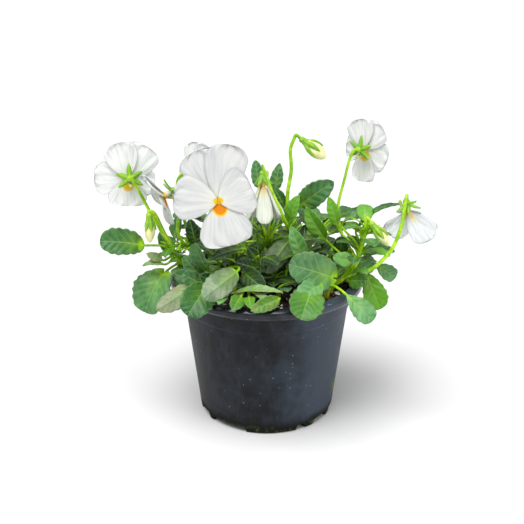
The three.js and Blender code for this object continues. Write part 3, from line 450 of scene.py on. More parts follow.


# %% [markdown]
# ### What black nursery plastic looks like
#
# It is a satin, slightly blue-grey black. Handling leaves dull scuffs and pale specks, splashed soil
# and hard water leave a grey film, and green algae grow where the foot stays damp. Each is a band of
# height, a blotch mask or scattered cells, and most of it works on the roughness, because a scuff shows
# by how it shines more than by its colour. The left side is tinted olive grey, and towards the right
# the pot is painted a paler blue-grey, which is a painted reflection.

# %% The pot's plastic
def make_pot_plastic():
    """Dark satin plastic: film, scuffs, specks, a dirty foot, moss and a painted sheen on its right."""
    made, tree, shader = material("pot_plastic")
    place = here(tree)
    split = put(tree, "ShaderNodeSeparateXYZ", {0: place})
    x, height = split.outputs["X"], split.outputs["Z"]
    film = blotches(tree, place, 40.0, 0.4, 0.64)
    colour = mixed(tree, film, srgb(12, 14, 16), srgb(34, 41, 50))
    left = mask(tree, plus(tree, x, times(tree, film, 0.004)), -0.03, -0.042)
    colour = mixed(tree, times(tree, left, 0.6), colour, srgb(34, 37, 30))
    # Painted reflection: towards the right the pot is painted a paler blue-grey, as a broad sheen.
    painted_sheen = mask(tree, plus(tree, x, times(tree, film, 0.006)), 0.006, 0.03)
    colour = mixed(tree, times(tree, painted_sheen, 0.7), colour, srgb(64, 74, 88))
    tall = put(tree, "ShaderNodeMapping", {"Vector": place, "Scale": (1, 1, 0.3)}).outputs[0]
    streaks = blotches(tree, tall, 150.0, 0.5, 0.7)
    colour = mixed(tree, times(tree, streaks, 0.3), colour, srgb(58, 66, 72))
    splashed = times(tree, mask(tree, x, 0.002, 0.026, 0.15, 1.0), mask(tree, height, 0.02, 0.05))
    patch = times(tree, mask(tree, noise(tree, place, 38.0), 0.48, 0.6), splashed)
    cells = put(tree, "ShaderNodeTexVoronoi", {"Vector": place, "Scale": 900.0}, feature="F1")
    chance = put(tree, "ShaderNodeSeparateColor", {0: cells.outputs["Color"]}).outputs[0]
    kept = mask(tree, sums(tree, "MULTIPLY_ADD", patch, 0.22, chance), 0.986, 0.998)
    speck = times(tree, mask(tree, cells.outputs["Distance"], 0.3, 0.12), kept)
    colour = mixed(tree, times(tree, speck, 0.75), colour, srgb(170, 175, 180))
    ragged = plus(tree, height, times(tree, noise(tree, place, 120.0), -0.008))
    dirt = mask(tree, ragged, 0.0055, -0.001)
    colour = mixed(tree, dirt, colour, srgb(15, 17, 10))
    algae = times(tree, mask(tree, ragged, 0.002, -0.004), blotches(tree, place, 240.0, 0.48, 0.6))
    colour = mixed(tree, times(tree, algae, 0.7), colour, srgb(88, 98, 52))
    tuft_at = put(tree, "ShaderNodeVectorMath", {0: place, 1: MOSS_PLACE}, operation="DISTANCE")
    fringe = times(tree, noise(tree, place, 400.0), 0.006)
    moss = mask(tree, plus(tree, tuft_at.outputs["Value"], fringe), 0.0085, 0.005)
    colour = mixed(tree, moss, colour, srgb(96, 112, 52))
    dull = larger(tree, larger(tree, dirt, moss), times(tree, film, 0.35))
    rolled = mask(tree, height, 0.0725, 0.0745, 0.0, 0.33)
    rough = sums(tree, "SUBTRACT", mask(tree, dull, 0.0, 1.0, 0.48, 0.85), rolled)
    more = plus(tree, times(tree, speck, 6.0), times(tree, moss, 30.0))
    feed(tree, shader, {
        "Base Color": colour, "Specular IOR Level": 0.2, "Coat Weight": rolled, "Coat Roughness": 0.2,
        "Roughness": rough, "Normal": grain(tree, place, 1.6, 4.0, more),
    })
    return made


pot = fuse("pot_shell", [skin(pot_rings)], [make_pot_plastic()])


# %% [markdown]
# ### Drain holes
#
# Water leaves the pot through five round holes in its floor. They could be left out of the turned rings,
# but then the floor would need its own pattern of faces round each hole. A Boolean that takes five
# upright rods away cuts them in one step, and leaves the rest of the pot as it is.

# %% Cut the drain holes
def cut(target, cutter):
    """Takes the cutter's space out of the target with an exact Boolean, and drops the cutter."""
    modifier = target.modifiers.new("holes", "BOOLEAN")
    modifier.operation, modifier.solver, modifier.object = "DIFFERENCE", "EXACT", cutter
    bpy.context.view_layer.update()
    evaluated = target.evaluated_get(bpy.context.evaluated_depsgraph_get())
    target.data = bpy.data.meshes.new_from_object(evaluated)
    target.modifiers.clear()
    bpy.data.objects.remove(cutter)


def drain_rod(k):
    """An upright rod through the floor: the k-th of a ring of them."""
    a = 2 * np.pi * (k + 0.5) / DRAIN["count"]
    x, y = DRAIN["circle"] * np.cos(a), DRAIN["circle"] * np.sin(a)
    line = np.array([[x, y, DRAIN["bottom"]], [x, y, DRAIN["top"]]])
    return skin(swept(line, DRAIN["radius"], DRAIN["sides"]))


cut(pot, fuse("drain_cutter", [drain_rod(k) for k in range(DRAIN["count"])], []))
settle(pot, "pot_plastic", "pot")

# %% [markdown]
# ## The soil
#
# Potting mix fills the pot almost to the rim. It is dark peat with reddish shreds of bark and white
# grains of perlite. The body is one turned skin whose top follows the same uneven height as the solid
# model, with finer crumbs added by a sum of waves. Loose crumbs and grains are small bent lumps of two
# dozen faces, strewn by a seeded draw: enough to break the edge of the surface, and cheap.

# %% The body of the soil
SOIL_TOP, SOIL_SIDES, SOIL_ROWS, WALL_GAP, FLOOR_GAP = 75.2, 260, 64, 0.7, 0.3
DOME_HEIGHT, DOME_RADIUS = 1.6, 46
CRUMB_WAVES, CRUMB_HEIGHT, DEEPEST_CRUMB = 24, 0.012, -0.5
CRUMBS_FADE = (42, 44.6)                          # radii between which the crumbs fade out at the wall
rng = np.random.default_rng(17)


def soil_height(x, y):
    """Height of the soil: slow waves and a low dome, as the solid has them."""
    waves = np.sin(0.43 * x + 1.1) * np.cos(0.37 * y - 0.4) + 0.6 * np.sin(0.9 * x - 0.7 * y)
    return SOIL_TOP + 0.7 * waves + DOME_HEIGHT * (1 - (x * x + y * y) / DOME_RADIUS**2)


def crumbs(x, y):
    """Fine crumbs: a sum of 24 waves of 2 to 9 mm length in all directions, cut off below."""
    turn, length = rng.uniform(0, 2 * np.pi, CRUMB_WAVES), rng.uniform(2, 9, CRUMB_WAVES)
    start = rng.uniform(0, 2 * np.pi, CRUMB_WAVES)
    along = x[..., None] * np.cos(turn) + y[..., None] * np.sin(turn)
    waves = np.sum(np.sin(2 * np.pi * along / length + start) * length, axis=-1)
    return np.maximum(waves * CRUMB_HEIGHT, DEEPEST_CRUMB)


def soil_skin():
    """The top is rings from the middle to the wall, and the last ring is drawn in to the pot's floor."""
    top_radius, foot_radius = (POT[key] - POT["wall"] - WALL_GAP for key in ("neck", "foot"))
    rows = np.append(np.linspace(0.01, 1, SOIL_ROWS), 1.0) * top_radius
    rings = turned(np.column_stack([rows, 0 * rows]), SOIL_SIDES)
    x, y = rings[..., 0], rings[..., 1]
    rings[..., 2] = soil_height(x, y) + crumbs(x, y) * (1 - smooth(np.hypot(x, y), *CRUMBS_FADE))
    rings[-1, :, :2] = rings[0, :, :2] / rows[0] * foot_radius
    rings[-1, :, 2] = POT["floor_top"] + FLOOR_GAP
    return skin(rings)


soil_body = soil_skin()
print("soil top, mm:", soil_body["points"][:, 2].max().round(1))


# %% Peat, bark and perlite
def make_grains(name, dark, pale, rough, scale):
    """A dull, crumbly material between two colours."""
    made, tree, shader = material(name)
    place = here(tree)
    colour = mixed(tree, blotches(tree, place, scale, 0.4, 0.62), dark, pale)
    feed(tree, shader, {"Base Color": colour, "Roughness": rough, "Normal": grain(tree, place, 0.7, 14.0)})
    return made


peat = make_grains("peat", srgb(24, 17, 12), srgb(56, 40, 28), 0.92, 300.0)
bark = make_grains("bark", srgb(92, 52, 34), srgb(168, 112, 84), 0.8, 500.0)
perlite = make_grains("perlite", srgb(196, 188, 172), srgb(232, 228, 218), 0.9, 600.0)


LUMP_ROWS, LUMP_SIDES, CRUMB_LIMIT = 5, 6, 43.4


def lumps(count, size, spread, centre=(0.0, 0.0), flat=0.7, finish=0):
    """Small lumps on the soil: spheres of 4 by 6 faces, each stretched, bent out of round and turned."""
    radius = spread * np.sqrt(rng.uniform(0, 1, count))
    turn = rng.uniform(0, 2 * np.pi, count)
    x, y = centre[0] + radius * np.cos(turn), centre[1] + radius * np.sin(turn)
    inside = np.hypot(x, y) < CRUMB_LIMIT
    polar = np.linspace(0.12, np.pi - 0.12, LUMP_ROWS)[:, None]
    a = np.linspace(0, 2 * np.pi, LUMP_SIDES, endpoint=False)
    made = []
    for px, py in zip(x[inside], y[inside]):
        r = size * rng.uniform(0.5, 1.3) * (1 + rng.uniform(-0.28, 0.28, (LUMP_ROWS, LUMP_SIDES)))
        ball = np.stack([r * np.sin(polar) * np.cos(a), r * np.sin(polar) * np.sin(a), r * np.cos(polar)],
                        axis=-1) * np.array([rng.uniform(0.7, 1.9), 1.0, flat])
        spin = rng.uniform(0, 2 * np.pi)
        c, s = np.cos(spin), np.sin(spin)
        ball = ball @ np.array([[c, s, 0], [-s, c, 0], [0, 0, 1]])
        made.append(skin(ball + np.array([px, py, soil_height(px, py) + 0.3]), finish))
    return made


settle(fuse("soil_body", [soil_body], [peat]), "soil", "soil")
PEAT, BARK, PERLITE = 0, 1, 2
strewn = [
    *lumps(520, 0.9, 44, finish=PEAT),
    *lumps(70, 1.0, 43.5, finish=PERLITE, flat=0.8),
    *lumps(60, 1.1, 43, finish=BARK, flat=0.4),
    *lumps(26, 1.1, 5.5, centre=(33, -26), finish=BARK, flat=0.5),
    *lumps(9, 0.6, 4, centre=(4, -40), finish=PERLITE),
    *lumps(4, 0.8, 1.5, centre=(-12.6, -13), finish=PERLITE),
]
settle(fuse("soil_crumbs", strewn, [peat, bark, perlite]), "soil")

# %% [markdown]
# ## Leaves
#
# A horned violet's leaf is a blunt oval on a narrow petiole, with rounded teeth along its margin, a
# pale midrib and side veins that leave it at a steep angle and curve to the tip. The blade swells a
# little between the veins. All of that is one formula over two parameters: t runs along the leaf from
# the stem, through the petiole, to the tip, and s runs across it. Painted veins alone would look flat
# where the light grazes the leaf, so the sheet really dips along each vein, and the material draws
# the fine pale line into the dip.

# %% Outlines, middle lines and columns of a blade
OUTLINES = dict(round=(0.45, 0.42), ovate=(0.5, 0.62), spoon=(0.95, 0.45), lance=(0.75, 0.85),
                petal=(0.8, 0.32))
FRONT, BACK, UP = (0, -0.9, 0.45), (0, 0.9, -0.3), (0, -0.25, 1)
PETIOLE_HALF_WIDTH, PETIOLE_THICKNESS, BLADE_THICKNESS = 0.65, 1.15, 0.62
ROOT_SHARE = 0.45                       # how far inside its stem a petiole starts, as a share of the radius
BIG_LEAF = 13                           # a longer leaf gets the fine grid, and a shorter one the coarse
FINE_GRID, COARSE_GRID = (12, 42, 9, 5.5), (8, 24, 6, 4)   # rows of petiole and blade, columns, veins
TOOTH = 3.2                             # mm of a leaf's length for each tooth
VEIN_SLOPE = 0.85                       # how far a vein climbs for each mm that it runs out
GOLDEN = 0.618                          # the golden section, which spreads leaves evenly round a stem
INSIDE = 9.0                            # a distance in mm that counts as far from any margin


def share_of(kind, t):
    """Half width at t as a share of the widest: t^rise (1-t)^fall, scaled to a greatest value of 1."""
    rise, fall = OUTLINES[kind]
    peak = rise / (rise + fall)
    return t**rise * (1 - t) ** fall / (peak**rise * (1 - peak) ** fall)


def bezier(p0, p1, p2, p3, t):
    """The cubic Bezier curve and its direction at each t."""
    t = t[:, None]
    q = 1 - t
    point = q**3 * p0 + 3 * q * q * t * p1 + 3 * q * t * t * p2 + t**3 * p3
    slope = 3 * q * q * (p1 - p0) + 6 * q * t * (p2 - p1) + 3 * t * t * (p3 - p2)
    return point, unit(slope)


def eased(count):
    """Shares from 0 to 1, closer together at both ends: (1 - cos pi x) / 2."""
    return 0.5 - 0.5 * np.cos(np.pi * np.linspace(0, 1, count))


def arched(start, axis, normal, length, arch, t):
    """A middle line start + axis L t + normal L arch 4 t (1 - t), and its direction at each t."""
    line = start + axis * (length * t)[:, None] + normal * (length * arch * 4 * t * (1 - t))[:, None]
    return line, unit(axis + normal * (4 * arch * (1 - 2 * t))[:, None])


def columns(half_count):
    """Places across a blade from -1 to 1, closer together near the midrib."""
    even = np.linspace(-1, 1, 2 * half_count + 1)
    return np.sign(even) * np.abs(even) ** 1.2


for kind, (rise, fall) in OUTLINES.items():
    print(f"{kind}: widest at {rise / (rise + fall):.2f} of its length")


# %% The surface of a leaf
def relief_of(half, s, t, x, seed, spacing, phase):
    """How far a leaf's sheet rises by its quilting and margin less its groove, and its midrib below.

    The quilt is a cosine of the vein phase, the groove and midrib are bell curves of the distance from
    the middle, and the margin waves by a sine of t that grows with s^2.
    """
    open_blade = smooth(t, 0.0, 0.12)
    quilt = 0.08 * spacing * np.cos(2 * np.pi * phase) * np.sin(np.pi * np.abs(s)) * open_blade
    groove = 0.16 * np.exp(-((x / 0.7) ** 2)) * open_blade * (1 - t)
    wave = 0.09 * half * np.sin(2 * np.pi * (1.6 * t + seed) + 0.9 * np.sign(s)) * s * s
    return wave - quilt - groove, 0.42 * np.exp(-((x / 0.55) ** 2)) * open_blade


def petiole_line(core, radius, foot, entry, count):
    """A petiole's middle line, a cubic Bezier curve that leaves its stem upwards and meets the blade."""
    start = core + unit(foot - core) * ROOT_SHARE * radius
    pull = 0.35 * np.linalg.norm(foot - start)
    share = np.linspace(0, 1, count, endpoint=False)
    return bezier(start, start + np.array([0, 0, pull]), foot - entry * pull, foot, share)


def toothed(kind, width, length, t):
    """Half width of a leaf: W / 2 times its outline times 0.93 + 0.12 |sin|^0.8, an arch to each tooth."""
    lobes = 0.93 + 0.12 * np.abs(np.sin(np.pi * max(3, round(length / TOOTH)) * t**0.9)) ** 0.8
    narrowest = np.where(t < 0.5, PETIOLE_HALF_WIDTH, 0.12)
    return np.maximum(0.5 * width * share_of(kind, t) * lobes, narrowest)


# %% A whole leaf
def leaf(stem, radius, kind, base, tip, width, faces, at=0.96, arch=0.08, fold=14, seed=0.0, tone=None,
         **tints):
    """A leaf on its petiole, as one skin.

    The blade is an arched line with a toothed outline, and its sheet falls along veins whose phase is
    (y - 0.85 |x| - 0.012 x^2) / spacing + 0.3. A round leaf has a heart-shaped foot: its rings are drawn
    back by 0.16 L s^2 (1 - t)^4.
    """
    foot, end = np.array(base, float), np.array(tip, float)
    length = float(np.linalg.norm(end - foot))
    axis = (end - foot) / length
    normal = square_to(np.array(faces, float), axis)
    petiole_rows, blade_rows, side_columns, veins = FINE_GRID if length > BIG_LEAF else COARSE_GRID
    t, s = eased(blade_rows), columns(side_columns)
    blank = np.zeros((petiole_rows, len(s)))
    entry = unit(axis + 4 * arch * normal)
    points, slopes = petiole_line(through(stem, at), radius, foot, entry, petiole_rows)
    centre, tangent = arched(foot, axis, normal, length, arch, t)
    half = toothed(kind, width, length, t)
    x, y, spacing = np.abs(half[:, None] * s), (length * t)[:, None], length / veins
    phase = (y - VEIN_SLOPE * x - 0.012 * x * x) / spacing + 0.3
    relief, ridge = relief_of(half[:, None], s, t[:, None], x, seed, spacing, phase)
    rise = np.append(blank[:, 0], np.radians(fold) * smooth(t, 0, 0.16))
    thick = BLADE_THICKNESS + 0.5 * (1 - smooth(t, 0, 0.1))
    across = square_to(np.cross(axis, normal), np.vstack([slopes, tangent]))
    rings = blade(np.vstack([points, centre]), across, np.cross(across, np.vstack([slopes, tangent])),
                  np.append(blank[:, 0] + PETIOLE_HALF_WIDTH, half), rise,
                  np.append(blank[:, 0] + PETIOLE_THICKNESS, thick), s,
                  np.vstack([blank, relief]), np.vstack([blank, ridge]))
    if kind == "round":
        back = 0.16 * length * round_ring(s * s * (1 - t[:, None]) ** 4)
        rings[petiole_rows:] -= axis * back[..., None]
    upper = on_top(rings, s)
    upper[:, [0, len(s) - 1]] = 0.5

    def whole(petiole, on_blade):
        """A look for the whole ring: one number on the petiole, and an array on the blade."""
        return round_ring(np.vstack([blank + petiole, np.broadcast_to(on_blade, (len(t), len(s)))]))

    near = 0.32 * (1 - smooth(t, 0.0, 0.75)[:, None]) * np.exp(-((x / (0.3 * width)) ** 2))
    lime = np.maximum(1 - smooth(t, 0.0, 0.1)[:, None], near)
    return skin(rings, side=upper, stalk=whole(1.0, lime), rib=whole(0.0, x + 0.3 * t[:, None]),
                vein=whole(0.3, phase), edge=whole(INSIDE, half[:, None] * (1 - np.abs(s))),
                tone=0.6 * (seed % 1) if tone is None else tone, **tints)


# %% [markdown]
# ### Stipules
#
# Where a petiole leaves the stem, a horned violet carries a tuft of small leafy blades, its stipules.
# They could be small leaves too, but they have neither petiole nor teeth, and a vein would hardly show.
# A narrow strap with shallow lobes takes a quarter of a small leaf's faces, so a tuft can be dense.

# %% Stipules
def strap(start, axis, normal, length, width, seed):
    """A stipule: a narrow pointed blade, bright yellow-green, with a few shallow lobes."""
    t, s = eased(16), columns(3)
    lobes = 1 + 0.12 * np.sin(2 * np.pi * (2.2 * t + seed))
    half = 0.5 * width * np.maximum((t + 0.14) ** 0.5 * (1.02 - t) ** 0.75 * 1.7 * lobes, 0.05)
    centre, tangent = arched(start, axis, normal, length, 0.1, t)
    across = square_to(np.cross(axis, normal), tangent)
    rings = blade(centre, across, np.cross(across, tangent), half, 0 * t + 0.3, 0 * t + 0.6, s)
    return skin(rings, side=on_top(rings, s), rib=round_ring(np.abs(half[:, None] * s)), vein=0.3,
                edge=margin_distance(half, s), tone=seed % 1, young=1.0, stalk=0.95)


def stipule_tuft(stem, radius, at, count, length, turn, rise=0.9, width=2.2):
    """A tuft of narrow blades at the foot of a petiole, a golden section of a turn apart."""
    made = []
    for k in range(count):
        angle = np.radians(turn) + 2 * np.pi * GOLDEN * k
        out = unit(np.array([np.cos(angle), np.sin(angle), rise]))
        flat_out = np.array([np.cos(angle), np.sin(angle), 0])
        start = through(stem, at - 0.03 * k) + flat_out * ROOT_SHARE * radius
        normal = square_to(np.array([-out[0], -out[1], 1]), out)
        made.append(strap(start, out, normal, length * (0.72 if k % 2 else 1), width, 0.37 * k + at))
    return made


# %% [markdown]
# ### Leaf green
#
# The upper side is a deep blue-green that goes yellow-green on young growth, the underside is paler
# and greyer, and the veins and margin are lighter still. Stems and petioles are a wet, bright
# yellow-green. One material does all of it, steered by the numbers that each skin carries, so that a
# petiole can fade into its blade with no seam, which two materials could not do.

# %% The green material
def make_green():
    """Leaf, petiole, stem and sepal, chosen by the numbers on the skin."""
    made, tree, shader = material("leaf_green")
    place = here(tree)
    side, stalk, tone, young, dry = looks(tree, "side", "stalk", "tone", "young", "dry")
    rib, edge, vein = looks(tree, "rib", "edge", "vein")
    half_way = sums(tree, "PINGPONG", vein, 0.5)
    deep = mixed(tree, tone, srgb(22, 66, 28), srgb(92, 150, 92))
    lit = mixed(tree, tone, srgb(66, 124, 48), srgb(146, 196, 132))
    patchy = times(tree, blotches(tree, place, 90.0, 0.38, 0.68), 0.8)
    # Painted light and shade of the quilting: the upper side is paler along the veins and deeper between
    # them, fading out towards the margin.
    painted_quilt_shade = times(tree, mask(tree, half_way, 0.32, 0.0), mask(tree, edge, 0.0, 2.5, 0.0, 0.45))
    top = mixed(tree, larger(tree, patchy, painted_quilt_shade), deep, lit)
    # Painted shade: within about 5 cm of the axis and below about 12 cm, where the plant shades itself, the
    # upper side of all but the palest leaves is darkened towards a near black green.
    across = put(tree, "ShaderNodeVectorMath", {0: place, 1: (1, 1, 0)}, operation="MULTIPLY").outputs[0]
    from_axis = put(tree, "ShaderNodeVectorMath", {0: across}, operation="LENGTH").outputs["Value"]
    height = put(tree, "ShaderNodeSeparateXYZ", {0: place}).outputs["Z"]
    inner = times(tree, mask(tree, from_axis, 0.054, 0.034), mask(tree, height, 0.126, 0.102))
    inner = times(tree, inner, mask(tree, tone, 0.75, 0.55))
    top = mixed(tree, times(tree, inner, 0.8), top, srgb(12, 34, 10))
    top = mixed(tree, young, top, srgb(112, 178, 14))
    mottled = blotches(tree, place, 160.0, 0.35, 0.68)
    below = mixed(tree, mottled, srgb(104, 130, 96), srgb(150, 166, 136))
    below = mixed(tree, times(tree, young, 0.8), below, srgb(140, 186, 60))
    # Painted shade on the undersides in the same place, a quarter as strong.
    below = mixed(tree, times(tree, inner, 0.25), below, srgb(34, 52, 26))
    colour = mixed(tree, side, below, top)
    bleached = times(tree, dry, mask(tree, noise(tree, place, 150.0), 0.3, 0.62))
    colour = mixed(tree, bleached, colour, srgb(168, 158, 122))
    line = times(tree, mask(tree, half_way, 0.07, 0.0), mask(tree, edge, 0.4, 3.0))
    rib_line = mask(tree, rib, 0.6, 0.15)
    veins = larger(tree, times(tree, line, 0.24), times(tree, rib_line, 0.55))
    colour = mixed(tree, veins, colour, srgb(146, 186, 112))
    colour = mixed(tree, times(tree, mask(tree, edge, 0.45, 0.1), 0.3), colour, srgb(140, 170, 116))
    stem = mixed(tree, blotches(tree, place, 120.0, 0.4, 0.62), srgb(124, 180, 8), srgb(178, 220, 44))
    more = plus(tree, times(tree, line, -3.0), times(tree, rib_line, 4.0))
    feed(tree, shader, {
        "Base Color": mixed(tree, stalk, colour, stem), "Roughness": mask(tree, side, 0.0, 1.0, 0.6, 0.33),
        "Specular IOR Level": 0.25, "Subsurface Weight": 0.12, "Subsurface Radius": (0.6, 1.0, 0.2),
        "Subsurface Scale": 1.5 * MM, "Normal": grain(tree, place, 0.7, 6.0, more),
    })
    return made


leaf_green = make_green()
print("nodes in the leaf green:", len(leaf_green.node_tree.nodes))

# %% [markdown]
# ## Flowers: the frame of a bloom, and its calyx
#
# Every flower sits at a seat on the end of its stalk, where its own three directions start: n is where
# it faces, u is up in its face, r is its right. The calyx belongs to the stalk: a small receptacle with
# five narrow sepals. Behind an open bloom they spread like a star, and round a bud they clasp it.

# %% Frames and calyces
SEPAL_ANGLES, SEPAL_WIDTH, SEPAL_LENGTH = (0, 66, 122, 238, 294), 3.0, 6.8
RECEPTACLE_START, RECEPTACLE_LENGTH = -1.9, 3.0   # mm along n, from the seat


def flower_frame(seat, faces, up=(0, 0, 1), **_):
    """The seat and the three directions n, u and r of a flower."""
    n = unit(np.array(faces, float))
    u = square_to(np.array(up, float), n)
    return np.array(seat, float), n, u, np.cross(u, n)


def in_face(u, r, angle):
    """The direction in the flower's face at an angle from its up direction."""
    a = np.radians(angle)
    return u * np.cos(a) + r * np.sin(a)


def bud_radius(girth, t):
    """Radius of a furled bud at t: girth sin(pi (0.08 + 0.86 t))^0.8."""
    return girth * np.sin(np.pi * (0.08 + 0.86 * np.asarray(t))) ** 0.8


def receptacle(seat, n):
    """The swollen end of the stalk: round rings along n whose radius follows half a sine."""
    t = np.linspace(0, 1, 9)
    radius = 0.5 + 1.25 * np.sin(np.pi * (0.1 + 0.86 * t)) ** 0.8
    line = seat + n * (RECEPTACLE_START + RECEPTACLE_LENGTH * t)[:, None]
    return skin(swept(line, radius, 12), stalk=0.7, young=1.0, edge=INSIDE)


def sepal(seat, n, out, distance, reach, seed):
    """A sepal whose middle line is seat + n distance(t) + out reach(t), green with a pale rib."""
    t, s = np.linspace(0, 1, 18), columns(3)
    centre = seat + n * distance(t)[:, None] + out * reach(t)[:, None]
    tangent = unit(np.gradient(centre, axis=0))
    across = np.broadcast_to(np.cross(out, n), tangent.shape)
    half = 0.5 * SEPAL_WIDTH * np.maximum(1.75 * (t + 0.16) ** 0.4 * (1.01 - t) ** 0.7, 0.06)
    rings = blade(centre, across, np.cross(across, tangent), half, 0 * t + 0.25, 0 * t + 0.85, s)
    return skin(rings, side=0.9, young=0.7, stalk=0.4, rib=round_ring(np.abs(half[:, None] * s)),
                vein=0.3, edge=margin_distance(half, s), tone=seed % 1)


def calyx(flower):
    """The receptacle with its five sepals, spread behind a bloom or clasping a bud."""
    seat, n, u, r = flower_frame(**flower)
    made = [receptacle(seat, n)]
    for angle in SEPAL_ANGLES:
        out = in_face(u, r, angle)
        if "girth" in flower:
            clasp, length, girth = flower["clasp"], flower["length"], flower["girth"]
            distance = lambda t: 0.3 + np.minimum(1.0, 5 * t) + clasp * length * t
            reach = lambda t: 1.4 + (bud_radius(girth, clasp * t) + 0.5 - 1.4) * smooth(t, 0.0, 0.35)
        else:
            lean = np.radians(flower.get("sepal_lean", 14))
            distance = lambda t: 0.3 + np.sin(lean) * SEPAL_LENGTH * t - 0.9 * t * t
            reach = lambda t: 1.2 + np.cos(lean) * SEPAL_LENGTH * t
        made.append(sepal(seat, n, out, distance, reach, seed=angle / 97))
    return made


# %% [markdown]
# ## Blooms
#
# Five petals stand in layers: the two upper ones at the back, the side ones in front of them, and the
# lip below, which is the widest and carries the orange eye. A hollow spur runs back under the calyx.
# A petal is an obovate blade on a narrow claw, bent back to its rim, with a gently ruffled margin and
# fine wrinkles that fan out from the throat. The wrinkles are too fine to be worth the faces, so they
# are a bump: noise stretched along the petal, read from the skin's own numbers.

# %% Petals
PETAL_ROWS, PETAL_COLUMNS, LIP, BLOOM_DEPTH = 40, 31, 4, 4.5
PETALS = [(-24, 1.1, 0.98, 0), (22, 1.1, 0.98, 1), (-96, 0.95, 0.86, 2), (96, 0.95, 0.86, 2),
          (180, 1, 1.12, 1)]             # angle, length and width as shares of the bloom's size, layer


def eye_share(cup, k, x, y, length):
    """How far a point lies in the orange eye of its petal, from 0 to 1: 1 minus a soft step of an oval."""
    if cup > 40:
        return 0.68 * (1 - smooth(y, 0.15 * length, 0.7 * length)) * (1 - smooth(np.abs(x), 0.5, 2.6))
    if k == LIP:
        return 1 - smooth(np.hypot(x / 4.4, (y - 1.6) / 6.6), 0.6, 1.05)
    return 0.6 * (1 - smooth(np.hypot(x / 2.3, y / 3.2), 0.5, 1.1))


def petal(frame_of, throat, k, angle, length, width, layer, cup, reflex, thin):
    """One petal: middle line start + axis L t - normal reflex L t^2, rippled towards its rim.

    Its wrinkles follow the fan coordinate 14 x / (y + 0.35 L), which is the same all along a line that
    runs out from the throat. It travels as `rib`, and the share y / L of the way out as `vein`. A closed
    bloom, with a cup over 60 degrees, is a little green.
    """
    _, n, u, r = frame_of
    out = in_face(u, r, angle)
    lean = np.radians(cup)
    axis = out * np.cos(lean) + n * np.sin(lean)
    normal = n * np.cos(lean) - out * np.sin(lean)
    start = throat + normal * layer + out * 1.5 * np.sin(lean)
    t = 0.03 + 0.97 * np.sin(0.5 * np.pi * np.linspace(0, 1, PETAL_ROWS))
    s = np.sin(0.5 * np.pi * np.linspace(-1, 1, PETAL_COLUMNS))
    nick = 1 - 0.03 * np.sin(2 * np.pi * 3.3 * t + k) * smooth(t, 0.5, 0.9)
    half = np.maximum(0.5 * width * share_of("petal", t) * nick, np.where(t < 0.4, 0.85, 0.1))
    centre = start + axis * (length * t)[:, None] - normal * (reflex * length * t * t)[:, None]
    tangent = unit(axis - normal * (2 * reflex * t)[:, None])
    across = np.broadcast_to(np.cross(axis, normal), centre.shape)
    rows, x = t[:, None], half[:, None] * s
    waves = np.sin(2 * np.pi * (1.35 * s + 0.7 * rows) + 2.1 * k)
    ruffle = 0.04 * length * waves * rows**2.5 * (0.35 + 0.65 * np.abs(s))
    ruffle += 0.014 * length * np.sin(2 * np.pi * (3.4 * s) + 1.3 * k) * rows**4
    droop = -0.25 * reflex * half[:, None] * s * s
    folds = 0.09 * np.sin(15 * s + 2 * k) * np.sin(np.pi * rows) * smooth(rows, 0.1, 0.4)
    rings = blade(centre, across, np.cross(across, tangent), half, 0 * t, BLADE_THICKNESS - 0.3 * t, s,
                  ruffle + droop + folds)
    y = length * rows + 0 * s
    return skin(rings, side=on_top(rings, s), eye=round_ring(eye_share(cup, k, x, y, length)),
                rib=round_ring(x / (y + 0.35 * length) * 14 + 9.7 * k), vein=round_ring(y / length),
                edge=margin_distance(half, s), tone=(0.31 * k) % 1, dry=0.22 if cup > 60 else 0.0,
                young=thin)


def corolla(flower):
    """The five petals, the rounded style in the throat, and the spur behind the lip."""
    frame_of = flower_frame(**flower)
    seat, n, u, _ = frame_of
    throat = seat + n * BLOOM_DEPTH
    size, cup, reflex = flower.get("size", 18), flower.get("cup", 8), flower.get("reflex", 0.1)
    made = [petal(frame_of, throat, k, angle, long * size, wide * size, layer, cup, reflex,
                  flower.get("thin", 0.0))
            for k, (angle, long, wide, layer) in enumerate(flower.get("petals", PETALS))]
    t = np.linspace(0, 1, 14)
    knob = swept(throat + n * (-3.2 + 5.0 * t)[:, None], 0.25 + (0.95 + t) * np.sqrt(1 - t**7), 16)
    made.append(skin(knob, side=1.0, eye=0.36 * smooth(t, 0.45, 0.6)[:, None], edge=INSIDE))
    t = np.linspace(0, 1, 18)
    spur = through([throat + n * d + u * drop for d, drop in ((-0.4, -1.2), (-3.4, -3.5), (-6.2, -3.8))], t)
    radius = 0.12 + 0.95 * np.sqrt(1 - t**8) * (1 - 0.3 * t)
    made.append(skin(swept(spur, radius, 12), side=0.5, dry=1.0, edge=INSIDE))
    return made
